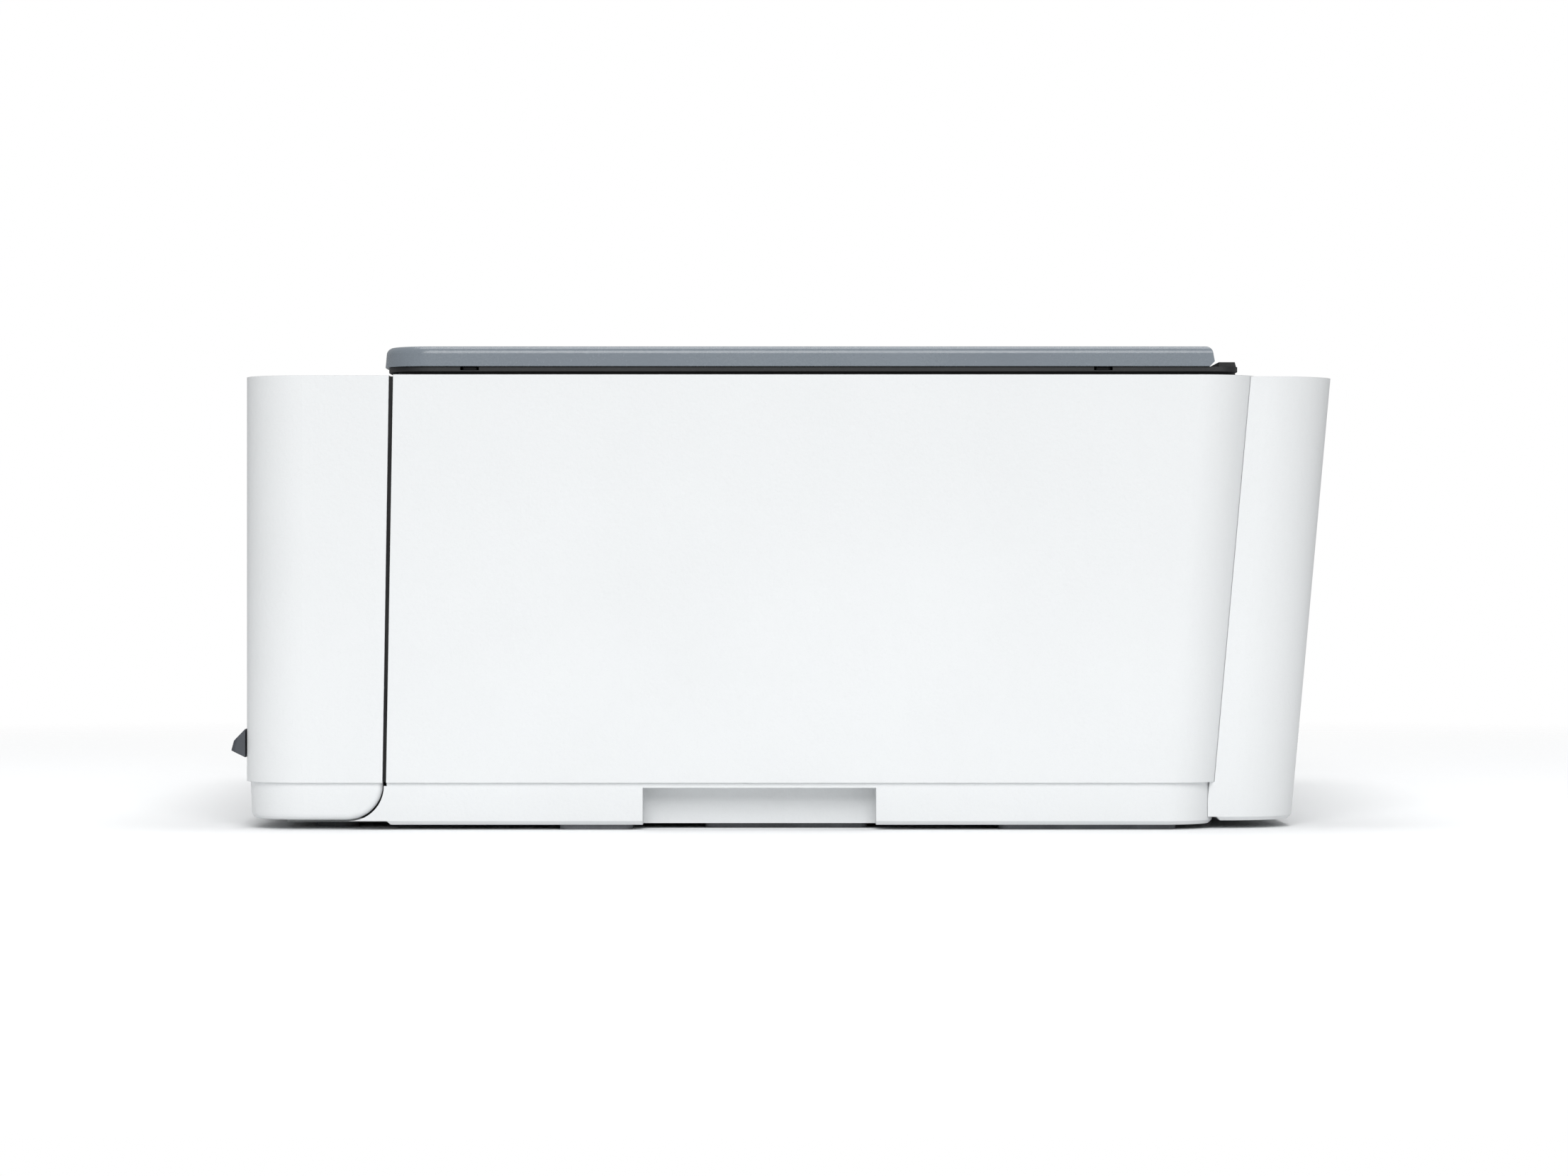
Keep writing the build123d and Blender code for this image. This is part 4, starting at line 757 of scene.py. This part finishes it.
def socket_shell():
    """Plated shell and white tongue of the data socket in the rear face."""
    depth, proud = 8 * MM, 0.35 * MM
    facing_back = Matrix.Rotation(-math.pi / 2 - LEAN, 4, "X")
    upright = Matrix.Translation(rear_point(DATA_SOCKET_X, DATA_SOCKET_Z)) @ facing_back
    outer = rounded(-6.3 * MM, 6.3 * MM, -5.8 * MM, 5.8 * MM, 0.8 * MM)
    inner = rounded(-4.5 * MM, 4.5 * MM, -3.9 * MM, 3.9 * MM, 0.5 * MM)
    shell = bmesh.new()
    rings = [[shell.verts.new((*point, height)) for point in outline]
             for outline, height in ((outer, -depth), (outer, proud), (inner, proud), (inner, -depth))]
    join_rings(shell, rings)
    shell.transform(upright)
    bmesh.ops.recalc_face_normals(shell, faces=shell.faces)
    tongue = bmesh.new()
    add_prism(tongue, rounded(-2.9 * MM, 2.9 * MM, -1.7 * MM, 1.7 * MM, 0.3 * MM), -depth, -2 * MM,
              0.2 * MM, turn=upright)
    piece("data_socket_shell", shell, MATERIALS["sheet_steel"], "housing")
    piece("data_socket_tongue", tongue, PRINT_WHITE, "housing")


seam_shade_strips()
socket_shell()


# ---------------------------------------------------------------- carriage and drive
HEAD_INKS = {"printhead_black": ("black",), "printhead_color": ("cyan", "magenta", "yellow")}


def head_labels():
    """Coloured patches on the tops of the print heads, three bands on the colour one."""
    for head, colours in HEAD_INKS.items():
        low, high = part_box(head)
        width = (high.x - low.x - 8 * MM) / len(colours)
        for number, colour in enumerate(colours):
            x = low.x + 4 * MM + width * number
            shape = bmesh.new()
            patch = rounded(x + 0.3 * MM, x + width - 0.3 * MM, low.y + 6 * MM, low.y + 16 * MM, 0.8 * MM)
            add_prism(shape, patch, high.z - 0.05 * MM, high.z + 0.1 * MM, 0.03 * MM)
            piece("head_patch_" + colour, shape, MARKS[colour], "carriage")


head_labels()


# ---------------------------------------------------------------- studio
def studio_floor():
    """A plain pale floor a hair's breadth below the rubber feet, melting into the white further out."""
    bpy.ops.mesh.primitive_grid_add(x_subdivisions=24, y_subdivisions=24, size=12,
                                    location=(0, 0, -0.05 * MM))
    floor = bpy.context.object
    floor.name = "floor"
    made, tree, shader = new_material("floor", Roughness=0.8, Specular_IOR_Level=0.2)
    cloud = noise(tree, 1.5, 2)
    tree.links.new(mixed(tree, ranged(tree, cloud, 0, 1), srgb(246, 247, 248), srgb(250, 251, 252)),
                   shader.inputs["Base Color"])
    away = add_node(tree, "VectorMath", operation="LENGTH")
    tree.links.new(placed(tree), away.inputs[0])
    tree.links.new(ranged(tree, away.outputs["Value"], 1, 0, 0.35, 1.1), shader.inputs["Alpha"])
    floor.data.materials.append(made)


def softbox(name, place, size, power):
    """A square soft light that faces the middle of the printer."""
    lamp = bpy.data.lights.new(name, "AREA")
    lamp.shape = "SQUARE"
    lamp.size = size
    lamp.energy = power
    held = bpy.data.objects.new(name, lamp)
    held.location = place
    held.rotation_euler = (Vector((0, 0, 0.08)) - Vector(place)).to_track_quat("-Z", "Y").to_euler()
    bpy.context.scene.collection.objects.link(held)


def white_surroundings(strength):
    """White all round, as bright as paper to the eye and a little dimmer as a light."""
    world = bpy.data.worlds.new("surroundings")
    bpy.context.scene.world = world
    world.use_nodes = True
    tree = world.node_tree
    background = tree.nodes["Background"]
    background.inputs["Color"].default_value = (1, 1, 1, 1)
    rays = add_node(tree, "LightPath")
    brightness = add_node(tree, "MapRange")
    brightness.inputs["To Min"].default_value = strength
    tree.links.new(rays.outputs["Is Camera Ray"], brightness.inputs["Value"])
    tree.links.new(brightness.outputs["Result"], background.inputs["Strength"])


def side_camera():
    """Square on to the printer's right-hand side, level with the middle of its height."""
    lens = bpy.data.cameras.new("camera")
    lens.sensor_width = 36
    lens.lens = 111.1
    held = bpy.data.objects.new("camera", lens)
    held.location = (1787 * MM, 0.3 * MM, 78.5 * MM)
    held.rotation_euler = (math.radians(90), 0, math.radians(90))
    bpy.context.scene.collection.objects.link(held)
    bpy.context.scene.camera = held


studio_floor()
white_surroundings(0.4)
softbox("side_softbox", (2.6, 0, 1.5), 1.6, 51)
softbox("top_softbox", (-0.3, 0, 2.4), 1.6, 32)
side_camera()
bpy.context.scene.view_settings.view_transform = "Standard"
